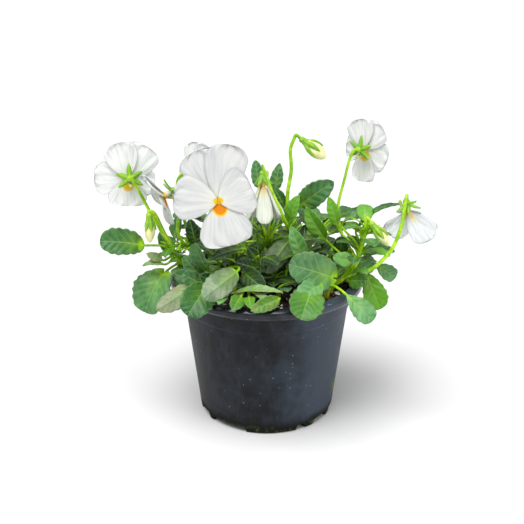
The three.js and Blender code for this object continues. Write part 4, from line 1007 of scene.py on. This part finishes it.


# %% [markdown]
# ### Petal white
#
# A white petal is thin: light passes into it and comes out softened, which subsurface scattering does.
# It isn't quite white. Its folds and its rim are painted a cooler grey, which is painted shade. It is
# faintly yellow near the throat, and the eye goes from yellow at its rim to deep orange in the middle,
# with a ragged edge. Its back shows fine veins and is painted paler than its face, which is painted
# light. One bloom is painted greyer by the share `young`, which is painted shade, and the spur and a
# closed bloom carry `dry`, which here is a breath of green.

# %% The petal material
def make_petal():
    """Thin white petal with an orange and yellow eye and fine fanned wrinkles."""
    made, tree, shader = material("petal_white")
    place = here(tree)
    fan, along, tone, side = looks(tree, "rib", "vein", "tone", "side")
    thin, edge, dry, eye = looks(tree, "young", "edge", "dry", "eye")
    grid = put(tree, "ShaderNodeCombineXYZ", {0: fan, 1: times(tree, along, 1.6), 2: tone}).outputs[0]
    wrinkle = noise(tree, grid, 1.1, 3.0, 0.5)
    eye = times(tree, eye, mask(tree, side, 0.2, 0.8, 0.42, 1.0))
    ragged = plus(tree, eye, sums(tree, "MULTIPLY_ADD", wrinkle, 0.3, -0.15))
    # Painted shade: the face is greyer in the fanned wrinkles.
    white = mixed(tree, mask(tree, wrinkle, 0.3, 0.62), srgb(192, 194, 197), srgb(208, 208, 206))
    # Painted light: the back is paler than the face, with greyer lines along its fine veins.
    back = mixed(tree, mask(tree, wrinkle, 0.34, 0.56), srgb(218, 221, 222), srgb(240, 241, 240))
    white = mixed(tree, side, back, white)
    # Painted shade: the petals of a bloom with the share young are greyed.
    white = mixed(tree, thin, white, mixed(tree, wrinkle, srgb(150, 158, 160), srgb(196, 202, 202)))
    white = mixed(tree, mask(tree, along, 0.45, 0.05, 0.0, 0.35), white, srgb(232, 234, 206))
    # Painted shade: a cooler grey along the rim.
    white = mixed(tree, mask(tree, edge, 0.8, 0.2, 0.0, 0.5), white, srgb(156, 159, 166))
    white = mixed(tree, dry, white, srgb(190, 208, 120))
    colour = mixed(tree, mask(tree, ragged, 0.1, 0.42), white, srgb(228, 186, 8))
    colour = mixed(tree, mask(tree, ragged, 0.5, 0.85), colour, srgb(216, 126, 0))
    feed(tree, shader, {
        "Base Color": colour, "Roughness": 0.6, "Specular IOR Level": 0.25, "Subsurface Weight": 0.3,
        "Subsurface Radius": (1.0, 1.0, 1.0), "Subsurface Scale": 2 * MM,
        "Normal": grain(tree, place, 0.4, 1.5, times(tree, wrinkle, 15.0)),
    })
    return made


petal_white = make_petal()
print("nodes in the petal white:", len(petal_white.node_tree.nodes))


# %% [markdown]
# ## Buds
#
# A closed bud is a roll of cream petals in the sepals of its shoot. It could be five petals wound round
# each other, but only the folds outside would ever show. So it is one round skin with three faint
# flutes that wind as it rises, and its material is yellower at the foot, where the petals are young.

# %% Buds and their pale material
def bud_roll(flower):
    """The furled petals: round rings along n, with three folds that wind round as they rise."""
    seat, n, _, _ = flower_frame(**flower)
    t = np.linspace(0, 1, 30)
    radius = bud_radius(flower["girth"], t) * np.sqrt(1 - t**14) + 0.04
    rings = swept(seat + n * (1.3 + flower["length"] * t)[:, None], radius, 24, 3, 0.07, 5 * t)
    return skin(rings, vein=t[:, None], edge=INSIDE)


def make_bud():
    """Cream petals, yellower at the foot, with pale blotches."""
    made, tree, shader = material("bud_cream")
    place = here(tree)
    mottled = blotches(tree, place, 260.0, 0.4, 0.66)
    cream = mixed(tree, mottled, srgb(246, 242, 164), srgb(252, 250, 206))
    at_foot = mask(tree, *looks(tree, "vein"), 0.5, 0.05, 0.0, 0.7)
    feed(tree, shader, {
        "Base Color": mixed(tree, at_foot, cream, srgb(214, 222, 120)), "Roughness": 0.55,
        "Subsurface Weight": 0.3, "Subsurface Radius": (1.0, 1.0, 0.7), "Subsurface Scale": 2 * MM,
        "Normal": grain(tree, place, 0.5, 3.0),
    })
    return made


bud_cream = make_bud()

# %% [markdown]
# ## Where every stem, leaf and flower stands
#
# These tables hold the places of the solid model, in millimetres, and some small leaves, tufts and fans
# that only the finer model has. A shoot has the foot of its stem in the soil and the places that the
# stem passes above it, and a list of places for the stalk of each flower it carries. A leaf has the
# base and tip of its blade, its widest width and the direction its upper side faces. A flower has its
# seat, the way it faces and, where they differ from the usual ones, its petals: angle in the face,
# length and width as shares of the bloom's size, and layer. The share `tone` runs from deep to pale
# blue-green, `young` turns a leaf bright yellow-green, `dry` bleaches it, and the share that greys a
# bloom's petals is painted shade.
#
# Where it doesn't matter how each leaf stands, a rule grows a fan of them: their number, the way they
# face and their spread in degrees, a seed, the length of their petioles and blades, and their youth.

# %% Tables of shoots and flowers
def leaf_at(kind, base, tip, width, faces=FRONT, **more):
    """A leaf: its outline, the base and tip of its blade, its width, and where its upper side faces."""
    return dict(kind=kind, base=base, tip=tip, width=width, faces=faces, **more)


def tuft(at, count, length, turn, **more):
    """Stipules: their place up the stem from 0 to 1, how many, how long, and where the first points."""
    return dict(at=at, count=count, length=length, turn=turn, **more)


SHOOTS = dict(
    shoot_left=dict(
        radius=1.7, foot=(-40, -8), stem=[(-44.5, -8, 86), (-48, -9, 92), (-50, -10, 97)],
        stalks=dict(
            bloom_left=[(-49, -10, 95), (-55, -9, 105), (-59, -7, 112), (-62, -6, 117), (-65, -5, 123)],
            bud_left=[(-47, -9, 90), (-50, -12, 98), (-54, -14, 108), (-57.5, -16, 117.5)],
        ),
        stipules=[tuft(0.78, 2, 9, 150), tuft(1, 3, 8, 120), tuft(0.8, 8, 9, 200, width=2.6)],
        leaves=[
            leaf_at("round", (-67, -14, 100), (-86, -20, 104), 15, faces=(0, -0.8, 0.6), at=0.8,
                    tone=0.2),
            leaf_at("round", (-55, -14, 83), (-64, -22, 65), 22, faces=(-0.4, -0.8, 0.5), at=0.5,
                    arch=0.1, tone=0.45),
            leaf_at("ovate", (-53, -5, 93), (-57, -2, 103), 6, at=0.9, tone=0.3),
            leaf_at("lance", (-55, -13, 91), (-63, -16, 96), 5, at=0.75, tone=0.9, dry=0.9),
            leaf_at("lance", (-54, -14, 89), (-65, -18, 90), 5.5, faces=UP, at=0.7, tone=0.9, dry=0.8),
        ],
        fan=(6, 200, 110, 0.65, 3.5, 8, 0.7),
    ),
    shoot_left_back=dict(
        radius=1.4, foot=(-36, 6), stem=[(-39, 4, 86), (-43, 1, 94)],
        stalks=dict(
            bloom_side=[(-42, 1, 92), (-47, -2, 101), (-46.5, -2, 112), (-42.5, -1.5, 123)],
            bloom_behind=[(-40, 4, 88), (-44, 6, 105), (-47, 2, 120), (-47, 1, 130)],
        ),
        stipules=[tuft(0.95, 3, 8, 40), tuft(0.9, 6, 9, 250, width=2.4)],
        leaves=[
            leaf_at("lance", (-50, 4, 97), (-46, 6, 110), 8, faces=(-0.5, -0.8, 0.3), at=0.9),
            leaf_at("spoon", (-44, 8, 96), (-49, 7, 95), 4, faces=UP, at=0.8),
            leaf_at("ovate", (-38, 0, 95), (-41, -1, 110), 8, at=0.7),
        ],
        fan=(5, -60, 120, 0.15, 4, 9, 0.3),
    ),
    shoot_left_front=dict(
        radius=1.4, foot=(-27, -22), stem=[(-28, -24, 81), (-30, -26, 84)],
        stipules=[tuft(0.95, 1, 6, 150)],
        leaves=[
            leaf_at("ovate", (-39, -33, 84), (-56, -39, 74), 12, faces=(0.2, 0.8, -0.5), at=0.8,
                    dry=0.4),
            leaf_at("round", (-31, -36, 84.8), (-39.3, -50, 75.5), 17, at=0.7, tone=0.15),
            leaf_at("ovate", (-15, -39, 95), (-31, -54, 87), 14, faces=BACK, at=0.9),
            leaf_at("spoon", (-28, -29, 90), (-36, -34, 108), 10, faces=(-0.5, -0.8, 0.1), fold=25,
                    tone=0.2),
            leaf_at("ovate", (-25, -33, 86), (-34, -37, 92), 7.5),
            leaf_at("ovate", (-34, -22, 85), (-43, -23, 97), 9),
            leaf_at("ovate", (-32, -28, 83), (-43, -30, 86), 6),
            leaf_at("ovate", (-36, -24, 83), (-48, -20, 86), 9, tone=0.2),
            leaf_at("ovate", (-37, -19, 82), (-50, -12, 80), 9, tone=0.1),
            leaf_at("round", (-33, -30, 84), (-43, -30, 90), 9, tone=0.3),
        ],
        fan=(4, 170, 70, 0.2, 4, 9, 0.2),
    ),
    shoot_front=dict(
        radius=1.5, foot=(-9, -24), stem=[(-10, -22, 83), (-12, -20, 90)],
        stalks=dict(
            bloom_front=[(-12, -20, 89), (-16, -17, 102), (-20, -17, 115), (-22.5, -21, 126)],
        ),
        stipules=[tuft(0.9, 3, 8, 10), tuft(0.98, 6, 10, 0, width=2.6)],
        leaves=[
            leaf_at("ovate", (-12, -23, 101), (-29, -26, 96), 8, faces=UP),
            leaf_at("ovate", (-6, -22, 96), (-10, -26, 103), 6, at=0.95),
            leaf_at("ovate", (-4, -24, 90), (-16, -29, 96), 7.5, at=0.7),
            leaf_at("ovate", (-12, -28, 90), (-1, -37, 84), 10.5, at=0.6),
            leaf_at("lance", (-17, -38, 83), (8, -45, 86), 6, faces=UP, at=0.45, young=0.3, tone=1,
                    dry=0.4),
            leaf_at("ovate", (-13, -43, 83), (-17, -53, 80), 8, at=0.45, young=0.3),
            leaf_at("ovate", (-9, -43, 82.5), (-8, -53, 81), 6, at=0.4, young=0.5, tone=0.2),
            leaf_at("lance", (-6, -41, 84), (2, -51, 81.5), 4.5, faces=UP, at=0.4, young=0.3, tone=1,
                    dry=0.6),
            leaf_at("ovate", (-22, -41, 83.5), (-24, -50, 82), 6.5, at=0.4, tone=0.5, young=0.3),
        ],
        fan=(5, -80, 120, 0.35, 4, 10, 0.3),
    ),
    shoot_front_low=dict(
        radius=0.9, bottom=64, foot=(0, -37), stem=[(1, -39, 79.5)],
        leaves=[
            leaf_at("ovate", (6, -45.5, 82.6), (-8, -54.5, 80.3), 7.5, dry=0.25, young=0.3, tone=0),
        ],
    ),
    shoot_centre=dict(
        radius=1.6, foot=(2, -8), stem=[(1, -7, 88), (0, -8, 97)],
        stipules=[tuft(0.82, 4, 13, 12, rise=1.1, width=2.6), tuft(0.97, 4, 14, 40, rise=1.6, width=2.6),
                  tuft(0.98, 14, 15, 75, rise=1.5, width=2.3),
                  tuft(0.75, 8, 13, 20, rise=0.8, width=2.4), tuft(1, 12, 18, 250, rise=1.9, width=2.6)],
        leaves=[
            leaf_at("ovate", (12, -17, 104), (-1, -26, 89), 12, faces=BACK, at=0.8),
            leaf_at("ovate", (-1, -14, 98), (2, -19, 92), 6, at=0.75),
        ],
        fan=(4, -100, 90, 0.1, 5, 11, 0),
    ),
    shoot_centre_back=dict(
        radius=1.7, foot=(14, 2), stem=[(13, 0, 92), (12, -1, 106)],
        stalks=dict(
            bloom_centre=[(12, -1, 103), (10, -15, 112), (7, -20.5, 121), (3, -20, 130),
                (0, -15.5, 137)],
            bud_top=[(12, 0, 100), (11, 2, 121), (13, 6, 135), (12.5, 9, 145), (14.5, 10, 151)],
        ),
        stipules=[tuft(0.97, 2, 10, 170, rise=1.5), tuft(0.98, 7, 11, 120, rise=1.4, width=2.4)],
        leaves=[
            leaf_at("lance", (19, -21, 93), (12, -21, 113), 9, at=0.55, fold=22, tone=0.7, young=0.25),
            leaf_at("lance", (12, -6, 109), (17, -7, 125), 9, faces=(-0.5, -0.8, 0.2), fold=28,
                    young=0.6),
            leaf_at("ovate", (18, 4, 116), (35, -3, 131), 13, at=0.95, tone=0.25),
            leaf_at("ovate", (-4, 6, 125), (-6, 7, 140), 7, at=0.85),
            leaf_at("lance", (4, 8, 122), (7, 9, 138), 7, at=0.9),
            leaf_at("lance", (10, 4, 115), (3, 3, 127), 6, at=0.95),
        ],
    ),
    shoot_right=dict(
        radius=1.7, foot=(34, -18), stem=[(40, -18, 83), (47, -16, 91), (50, -13, 101), (52, -10, 109)],
        stalks=dict(
            bloom_right=[(40, -18, 83), (47, -22, 87), (55, -24, 91), (64, -22, 100), (69, -18, 111),
                (71, -13, 119)],
            bud_right=[(51, -11, 106), (51.5, -10.8, 110)],
            bloom_high=[(46, -16, 90), (42, -9, 97), (39, -3, 106), (38, 2, 116), (41.5, 7, 130),
                (44, 9, 140)],
        ),
        stipules=[tuft(0.62, 2, 12, 20, rise=1.4), tuft(0.75, 2, 12, 60, rise=2.2),
                  tuft(0.98, 7, 10, 200, rise=0.8, width=2.6),
                  tuft(0.7, 10, 13, 200, rise=1.5, width=2.8)],
        leaves=[
            leaf_at("ovate", (51, -9, 93), (68, -8, 94), 13, faces=UP, at=0.6, tone=0.55),
            leaf_at("lance", (48, -3, 105), (71, -3, 119), 6, faces=(-0.4, -0.2, 1), at=0.75, arch=0.14),
            leaf_at("lance", (41, 0, 108), (54, -3, 111), 7, faces=(-0.3, -0.4, 1), at=0.7, arch=0.2),
            leaf_at("lance", (37, -7, 108), (32, -8, 124.5), 7, at=0.65, young=0.7),
            leaf_at("round", (39, -9, 94), (39, -12, 104), 9, at=0.5, tone=0.15),
            leaf_at("ovate", (44, -20, 93), (34, -22, 96), 8, at=0.55, tone=0.7, young=0.3),
            leaf_at("lance", (31, -12, 102), (20, -14, 121), 10, faces=(-0.3, -0.9, 0.3), at=0.5,
                    fold=28, young=0.5),
        ],
        fan=(14, 60, 170, 0.55, 5, 11, 0.6),
    ),
    shoot_right_low=dict(
        radius=1.6, bottom=64, foot=(31, -27), stem=[(32, -28, 82)],
        stipules=[tuft(0.95, 2, 6, 60)],
        leaves=[
            leaf_at("round", (33, -27, 87), (11, -37, 98), 19, tone=0.65),
            leaf_at("round", (26, -35, 86.5), (15, -47, 81.5), 12, tone=0.85),
            leaf_at("round", (21.5, -41.5, 84), (16.5, -56.5, 76.5), 18, at=0.8, tone=0.2, young=0.2),
            leaf_at("spoon", (40, -38, 82), (53, -46, 71), 11, at=0.9, tone=0.75),
        ],
    ),
    shoot_right_side=dict(
        radius=1.3, foot=(40.5, -6), stem=[(45, -8, 83)],
        leaves=[
            leaf_at("spoon", (52, -16, 86), (59, -25, 68), 13, young=0.5, tone=0),
            leaf_at("spoon", (58, -6, 86), (69, -8, 79), 9, tone=0.7),
            leaf_at("ovate", (45, -17, 85), (55, -15, 90), 9, tone=0.3),
            leaf_at("ovate", (43, -20, 82), (52, -27, 85), 9, tone=0.1, young=0.2),
            leaf_at("round", (47, -10, 84), (58, -6, 88), 10, tone=0.6),
        ],
        fan=(6, -20, 120, 0.3, 4, 10, 0.5),
    ),
    shoot_back_left=dict(
        radius=1.4, foot=(-24, 20), stem=[(-27, 24, 86), (-30, 28, 93)],
        fan=(7, 148, 64, 0.22, 11, 18, 0),
    ),
    shoot_back=dict(
        radius=1.4, foot=(-2, 30), stem=[(-1, 34, 88), (0, 38, 99)],
        fan=(7, 86, 62, 0.45, 11, 18, 0),
    ),
    shoot_back_right=dict(
        radius=1.4, foot=(26, 22), stem=[(29, 25, 87), (32, 28, 95)],
        fan=(7, 45, 75, 0.7, 11, 18, 0),
    ),
    shoot_middle=dict(
        radius=1.2, foot=(3, -17), stem=[(3, -17.5, 79.5), (3, -18, 82)],
        stipules=[tuft(0.95, 6, 11, 40, rise=1.2, width=2.4)],
        fan=(5, -60, 100, 0.36, 4, 13, 0),
    ),
    shoot_middle_low=dict(
        radius=1.2, foot=(6, -29), stem=[(6, -29.5, 79.5), (6, -30, 82)],
        fan=(3, -60, 100, 0.45, 4, 13, 0),
    ),
    shoot_inner=dict(
        radius=1.3, foot=(-14, 6), stem=[(-14, 6, 88), (-15, 5, 96)],
        fan=(6, -90, 150, 0.3, 6, 13, 0),
    ),
)

BLOOMS = dict(
    bloom_left=dict(seat=(-71, -4, 133), faces=(-0.3, 0.9, -0.25), size=18, petals=[(12, 1.05, 1, 0),
        (-36, 1.08, 1.05, 1), (84, 0.98, 0.95, 2), (-108, 0.8, 0.8, 2), (172, 0.8, 1.15, 1)]),
    bloom_side=dict(seat=(-49, -5.5, 127), faces=(-0.8, -0.4, -0.45), up=(-0.1, 0, 1), size=15, cup=24,
        petals=[(-24, 1, 0.9, 0), (22, 1.1, 0.9, 1), (-96, 0.72, 0.7, 1), (96, 0.9, 0.8, 2),
        (180, 1, 1, 1)]),
    bloom_front=dict(seat=(-23.4, -31.5, 129), faces=(-0.05, -0.95, 0.3), size=22.2, cup=5, reflex=0.06,
        stalk=1.3, petals=[(-24, 1.2, 1, 0), (10, 1.26, 0.95, 1), (-84, 0.99, 0.98, 2),
        (64, 0.8, 1.06, 2), (165, 1, 1.18, 1)]),
    bloom_behind=dict(seat=(-41, 6, 134), faces=(0.6, 0.75, -0.15), size=14),
    bloom_centre=dict(seat=(-2, -8, 136.5), faces=(0.05, -0.15, -1), up=(-0.6, -0.8, 0), size=21.5,
        cup=66, sepal_lean=60, reflex=0.02, stalk=0.9, petals=[(-36, 1, 0.4, 0), (36, 1, 0.4, 1),
        (-108, 0.96, 0.4, 1), (108, 0.9, 0.38, 0), (180, 1, 0.45, 2)]),
    bloom_high=dict(seat=(49, 13, 144), faces=(0.66, 0.7, -0.1), size=16, stalk=1,
        petals=[(20, 1, 1.1, 0), (-30, 0.98, 1, 1), (92, 0.84, 0.95, 2), (-110, 0.9, 1.05, 2),
        (180, 1.1, 0.95, 1)]),
    # Painted shade: this bloom's petals are painted greyer.
    bloom_right=dict(seat=(73, -8, 121), faces=(0.12, 0.2, -0.95), up=(1, -0.5, 0.1), size=18, cup=44,
        sepal_lean=24, thin=0.6, stalk=1.3, petals=[(-33, 1.05, 0.84, 0), (33, 1.05, 0.84, 1),
        (-104, 0.85, 0.62, 1), (104, 0.95, 0.74, 0), (180, 0.95, 0.78, 2)]),
)
BUDS = dict(
    bud_left=dict(seat=(-60.5, -16.5, 116.5), faces=(0, -0.05, -1), up=(1, 0, 0), length=13, girth=2.7,
        clasp=0.46, hook=2.8, stalk=1.2),
    bud_top=dict(seat=(19, 10, 150), faces=(0.75, 0, -0.6), up=(0, 0, 1), length=14.5, girth=4,
        clasp=0.62, stalk=1.2),
    bud_right=dict(seat=(55, -12, 110.5), faces=(0.62, -0.2, -0.75), up=(0, 0, 1), length=13, girth=2.8,
        clasp=0.62, stalk=1.2),
)

print(len(SHOOTS), "shoots,", len(BLOOMS), "blooms and", len(BUDS), "buds to grow")

# %% [markdown]
# ## Growing the shoots
#
# A stem and its flower stalks are swept round rings with faint ridges. The leaves of one shoot, its
# stipules, its stalks and their calyces are one living piece, so they become one mesh, which stands
# for one node of the solid model. Shoots could each be a collection of leaf objects instead, but a
# plant has no parts that come off, and one mesh is easier to carry about.

# %% Stems, stalks and fans
STEM_SIDES, ROWS_PER_PLACE = 14, 8


def stem_skin(places, foot_radius, top_radius, young=0.3):
    """A round stem through its places, thinning evenly from foot to top, with five faint ridges."""
    t = np.linspace(0, 1, ROWS_PER_PLACE * len(places))
    radius = foot_radius + (top_radius - foot_radius) * t
    rings = swept(through(places, t), radius, STEM_SIDES, flutes=5, depth=0.05, turn=3 * t)
    return skin(rings, side=0.8, stalk=1.0, young=young, edge=INSIDE)


def stalk_skin(path, flower):
    """A flower stalk: it runs up its path and hooks over to meet the flower from behind."""
    seat, n, _, _ = flower_frame(**flower)
    radius, ends = flower.get("stalk", 1.1), [seat - n * flower.get("hook", 4.4), seat - n * 1.2]
    return stem_skin([*path, *ends], 0.85 * radius, 0.68 * radius, young=0.6)


def fan_leaves(stem, count, outward, spread, seed, reach, size, young):
    """Leaves k = 0, 1, ... up the stem, as table rows.

    Leaf k turns to outward + spread (2 f - 1), where f is the fraction of 0.618 k + seed, so the golden
    section spreads them over the fan.
    """
    fraction = lambda x: x % 1
    towards = lambda turn, lift: np.array(
        [np.cos(turn) * np.cos(lift), np.sin(turn) * np.cos(lift), np.sin(lift)])
    grown = []
    for k in range(count):
        turn = np.radians(outward + spread * (2 * fraction(GOLDEN * k + seed) - 1))
        rise = 0.1 + 0.8 * fraction(0.382 * k + 1.7 * seed)
        at = 0.45 + 0.5 * k / (count - 1)
        base = through(stem, at) + towards(turn, rise + 0.25) * reach * (0.7 + 0.5 * fraction(0.73 * k))
        length = size * (0.8 + 0.35 * fraction(0.57 * k + seed))
        grown.append(leaf_at(
            "ovate" if k % 3 else "round", base, base + towards(turn, rise - 0.35) * length,
            length * (0.62 + 0.16 * fraction(0.29 * k)), (-0.35 * np.cos(turn), -0.35 * np.sin(turn), 1),
            at=at, arch=0.1, fold=6, young=young * fraction(0.43 * k + 0.3)))
    return grown


# %% Grow every shoot
STEM_BOTTOM, STEM_UPRIGHT_TO = 63, 77   # mm: a stem starts in the soil and bends only above it


def grow(name, radius, foot, stem, bottom=STEM_BOTTOM, stalks=None, stipules=(), leaves=(), fan=None):
    """All the skins of one leafy shoot, as one mesh that stands for its node.

    The stem rises straight out of the soil at its foot (x, y) before it follows its places. The leaf
    numbered k has the seed of its shoot's name + 0.618 k, so that no two wave or shade alike.
    """
    stem = [(*foot, bottom), (*foot, STEM_UPRIGHT_TO), *stem]
    skins = [stem_skin(stem, radius, 0.75 * radius)]
    for flower_name, path in (stalks or {}).items():
        flower = {**BLOOMS, **BUDS}[flower_name]
        skins += [stalk_skin(path, flower), *calyx(flower)]
    for row in stipules:
        skins += stipule_tuft(stem, radius, **row)
    rows = [*leaves, *(fan_leaves(stem, *fan) if fan else [])]
    seed = sum(map(ord, name)) * 0.137
    skins += [leaf(stem, radius, seed=seed + GOLDEN * k, **row) for k, row in enumerate(rows)]
    settle(fuse(name + "_grown", skins, [leaf_green]), "green", name)


for name, row in SHOOTS.items():
    grow(name, **row)

# %% [markdown]
# ### Low leaves that close the middle
#
# Between the shoots stand many small leaves that hardly show one by one, but hide the soil and the
# rim at the back. They stand on a sunflower spiral, which covers a disc evenly with one formula: leaf
# k has the radius R sqrt((k + 0.5) / N) and turns on by the golden section. A random scatter would
# leave bare patches next to crowds.

# %% Grow the low leaves
LOW = dict(count=96, spread=41.0, front=-22.0, foot=82.0, dome=22.0, size=13.0)


def low_leaves():
    """Small leaves on a spiral, standing higher towards the middle and leaning outwards."""
    grown = []
    for k in range(LOW["count"]):
        share = np.sqrt((k + 0.5) / LOW["count"])
        turn = 2 * np.pi * GOLDEN * k
        out = np.array([np.cos(turn), np.sin(turn), 0])
        foot = out * LOW["spread"] * share
        if foot[1] < LOW["front"]:
            continue
        height = LOW["foot"] + LOW["dome"] * (1 - share**2) * rng.uniform(0.35, 1.0)
        lean, swing = rng.uniform(-0.2, 1.0), rng.uniform(-0.8, 0.8)
        way = np.array([np.cos(turn + swing), np.sin(turn + swing), lean])
        base = foot + out * 2 + np.array([0, 0, height])
        length = LOW["size"] * rng.uniform(0.75, 1.3) * (1 - 0.25 * share)
        stem = [foot + np.array([0, 0, SOIL_TOP - 1]), foot + np.array([0, 0, SOIL_TOP + 2])]
        grown.append(leaf(
            stem, 0.6, "ovate" if k % 3 else "round", base, base + unit(way) * length,
            length * rng.uniform(0.5, 0.68), way + np.array([0, -0.3, 1.0]), seed=GOLDEN * k,
            tone=rng.uniform(0, 0.5), young=0.6 * rng.uniform(0, 1) ** 3))
    return grown


settle(fuse("low_leaves", low_leaves(), [leaf_green]), "green")

# %% Open every bloom and roll every bud
for name, flower in BLOOMS.items():
    settle(fuse(name + "_corolla", corolla(flower), [petal_white]), "petal", name)
for name, flower in BUDS.items():
    settle(fuse(name + "_roll", [bud_roll(flower)], [bud_cream]), "bud", name + "_petals")

# %% [markdown]
# ## Floor, light and camera
#
# The plant stands on a plain pale floor under a big soft light, as on a cloudy day: one wide sun high
# above, a little to the left and in front, a small lamp on the right for the sheen on the pot, and a
# pale sky. The camera looks down at 21 degrees, half a metre away, which is near enough that the pot
# narrows clearly towards its foot.

# %% Floor
FLOOR_HALF_WIDTH = 8.0                  # this, and all the sizes of the lamps and camera, in metres


def make_floor():
    """A pale, dull square sheet."""
    made, tree, shader = material("floor_pale")
    feed(tree, shader, {"Base Color": srgb(228, 228, 228), "Roughness": 0.9})
    mesh = bpy.data.meshes.new("floor")
    corners = np.array([(-1, -1, 0), (1, -1, 0), (1, 1, 0), (-1, 1, 0)]) * FLOOR_HALF_WIDTH
    mesh.from_pydata(corners.tolist(), [], [(0, 1, 2, 3)])
    mesh.materials.append(made)
    added("floor", mesh)


make_floor()

# %% Lamps and sky
SUN_SPREAD, LAMP_SIZE, SKY_STRENGTH, LIT_PLACE = np.radians(45), 0.4, 0.5, (0, 0, 0.08)


def lamp(name, kind, place, strength):
    """A soft lamp that stands at a place and is turned towards the middle of the plant."""
    light = bpy.data.lights.new(name, kind)
    light.energy = strength
    if kind == "SUN":
        light.angle = SUN_SPREAD
    else:
        light.size = LAMP_SIZE
    thing = added(name, light)
    thing.location = place
    away = mathutils.Vector(place) - mathutils.Vector(LIT_PLACE)
    thing.rotation_euler = away.to_track_quat("Z", "Y").to_euler()


lamp("high_sky", "SUN", (-0.2, -0.25, 1.0), 3.1)
lamp("soft_right", "AREA", (0.7, -0.6, 0.35), 2.0)
world = bpy.data.worlds.new("pale_sky")
bpy.context.scene.world = world
world.use_nodes = True
sky = {"Color": (1, 1, 1, 1), "Strength": SKY_STRENGTH}
feed(world.node_tree, world.node_tree.nodes["Background"], sky)

# %% Camera
ELEVATION, DISTANCE, AIM = np.radians(21), 0.5, (-0.0025, 0, 0.085)
LENS, SENSOR = 63.3, 36                 # mm
camera_data = bpy.data.cameras.new("camera")
camera_data.lens, camera_data.sensor_width = LENS, SENSOR
camera = added("camera", camera_data)
camera.location = (AIM[0], -DISTANCE * np.cos(ELEVATION), AIM[2] + DISTANCE * np.sin(ELEVATION))
camera.rotation_euler = (np.pi / 2 - ELEVATION, 0, 0)
bpy.context.scene.camera = camera
bpy.context.scene.view_settings.view_transform = "Standard"
print("camera, m:", [round(c, 3) for c in camera.location])
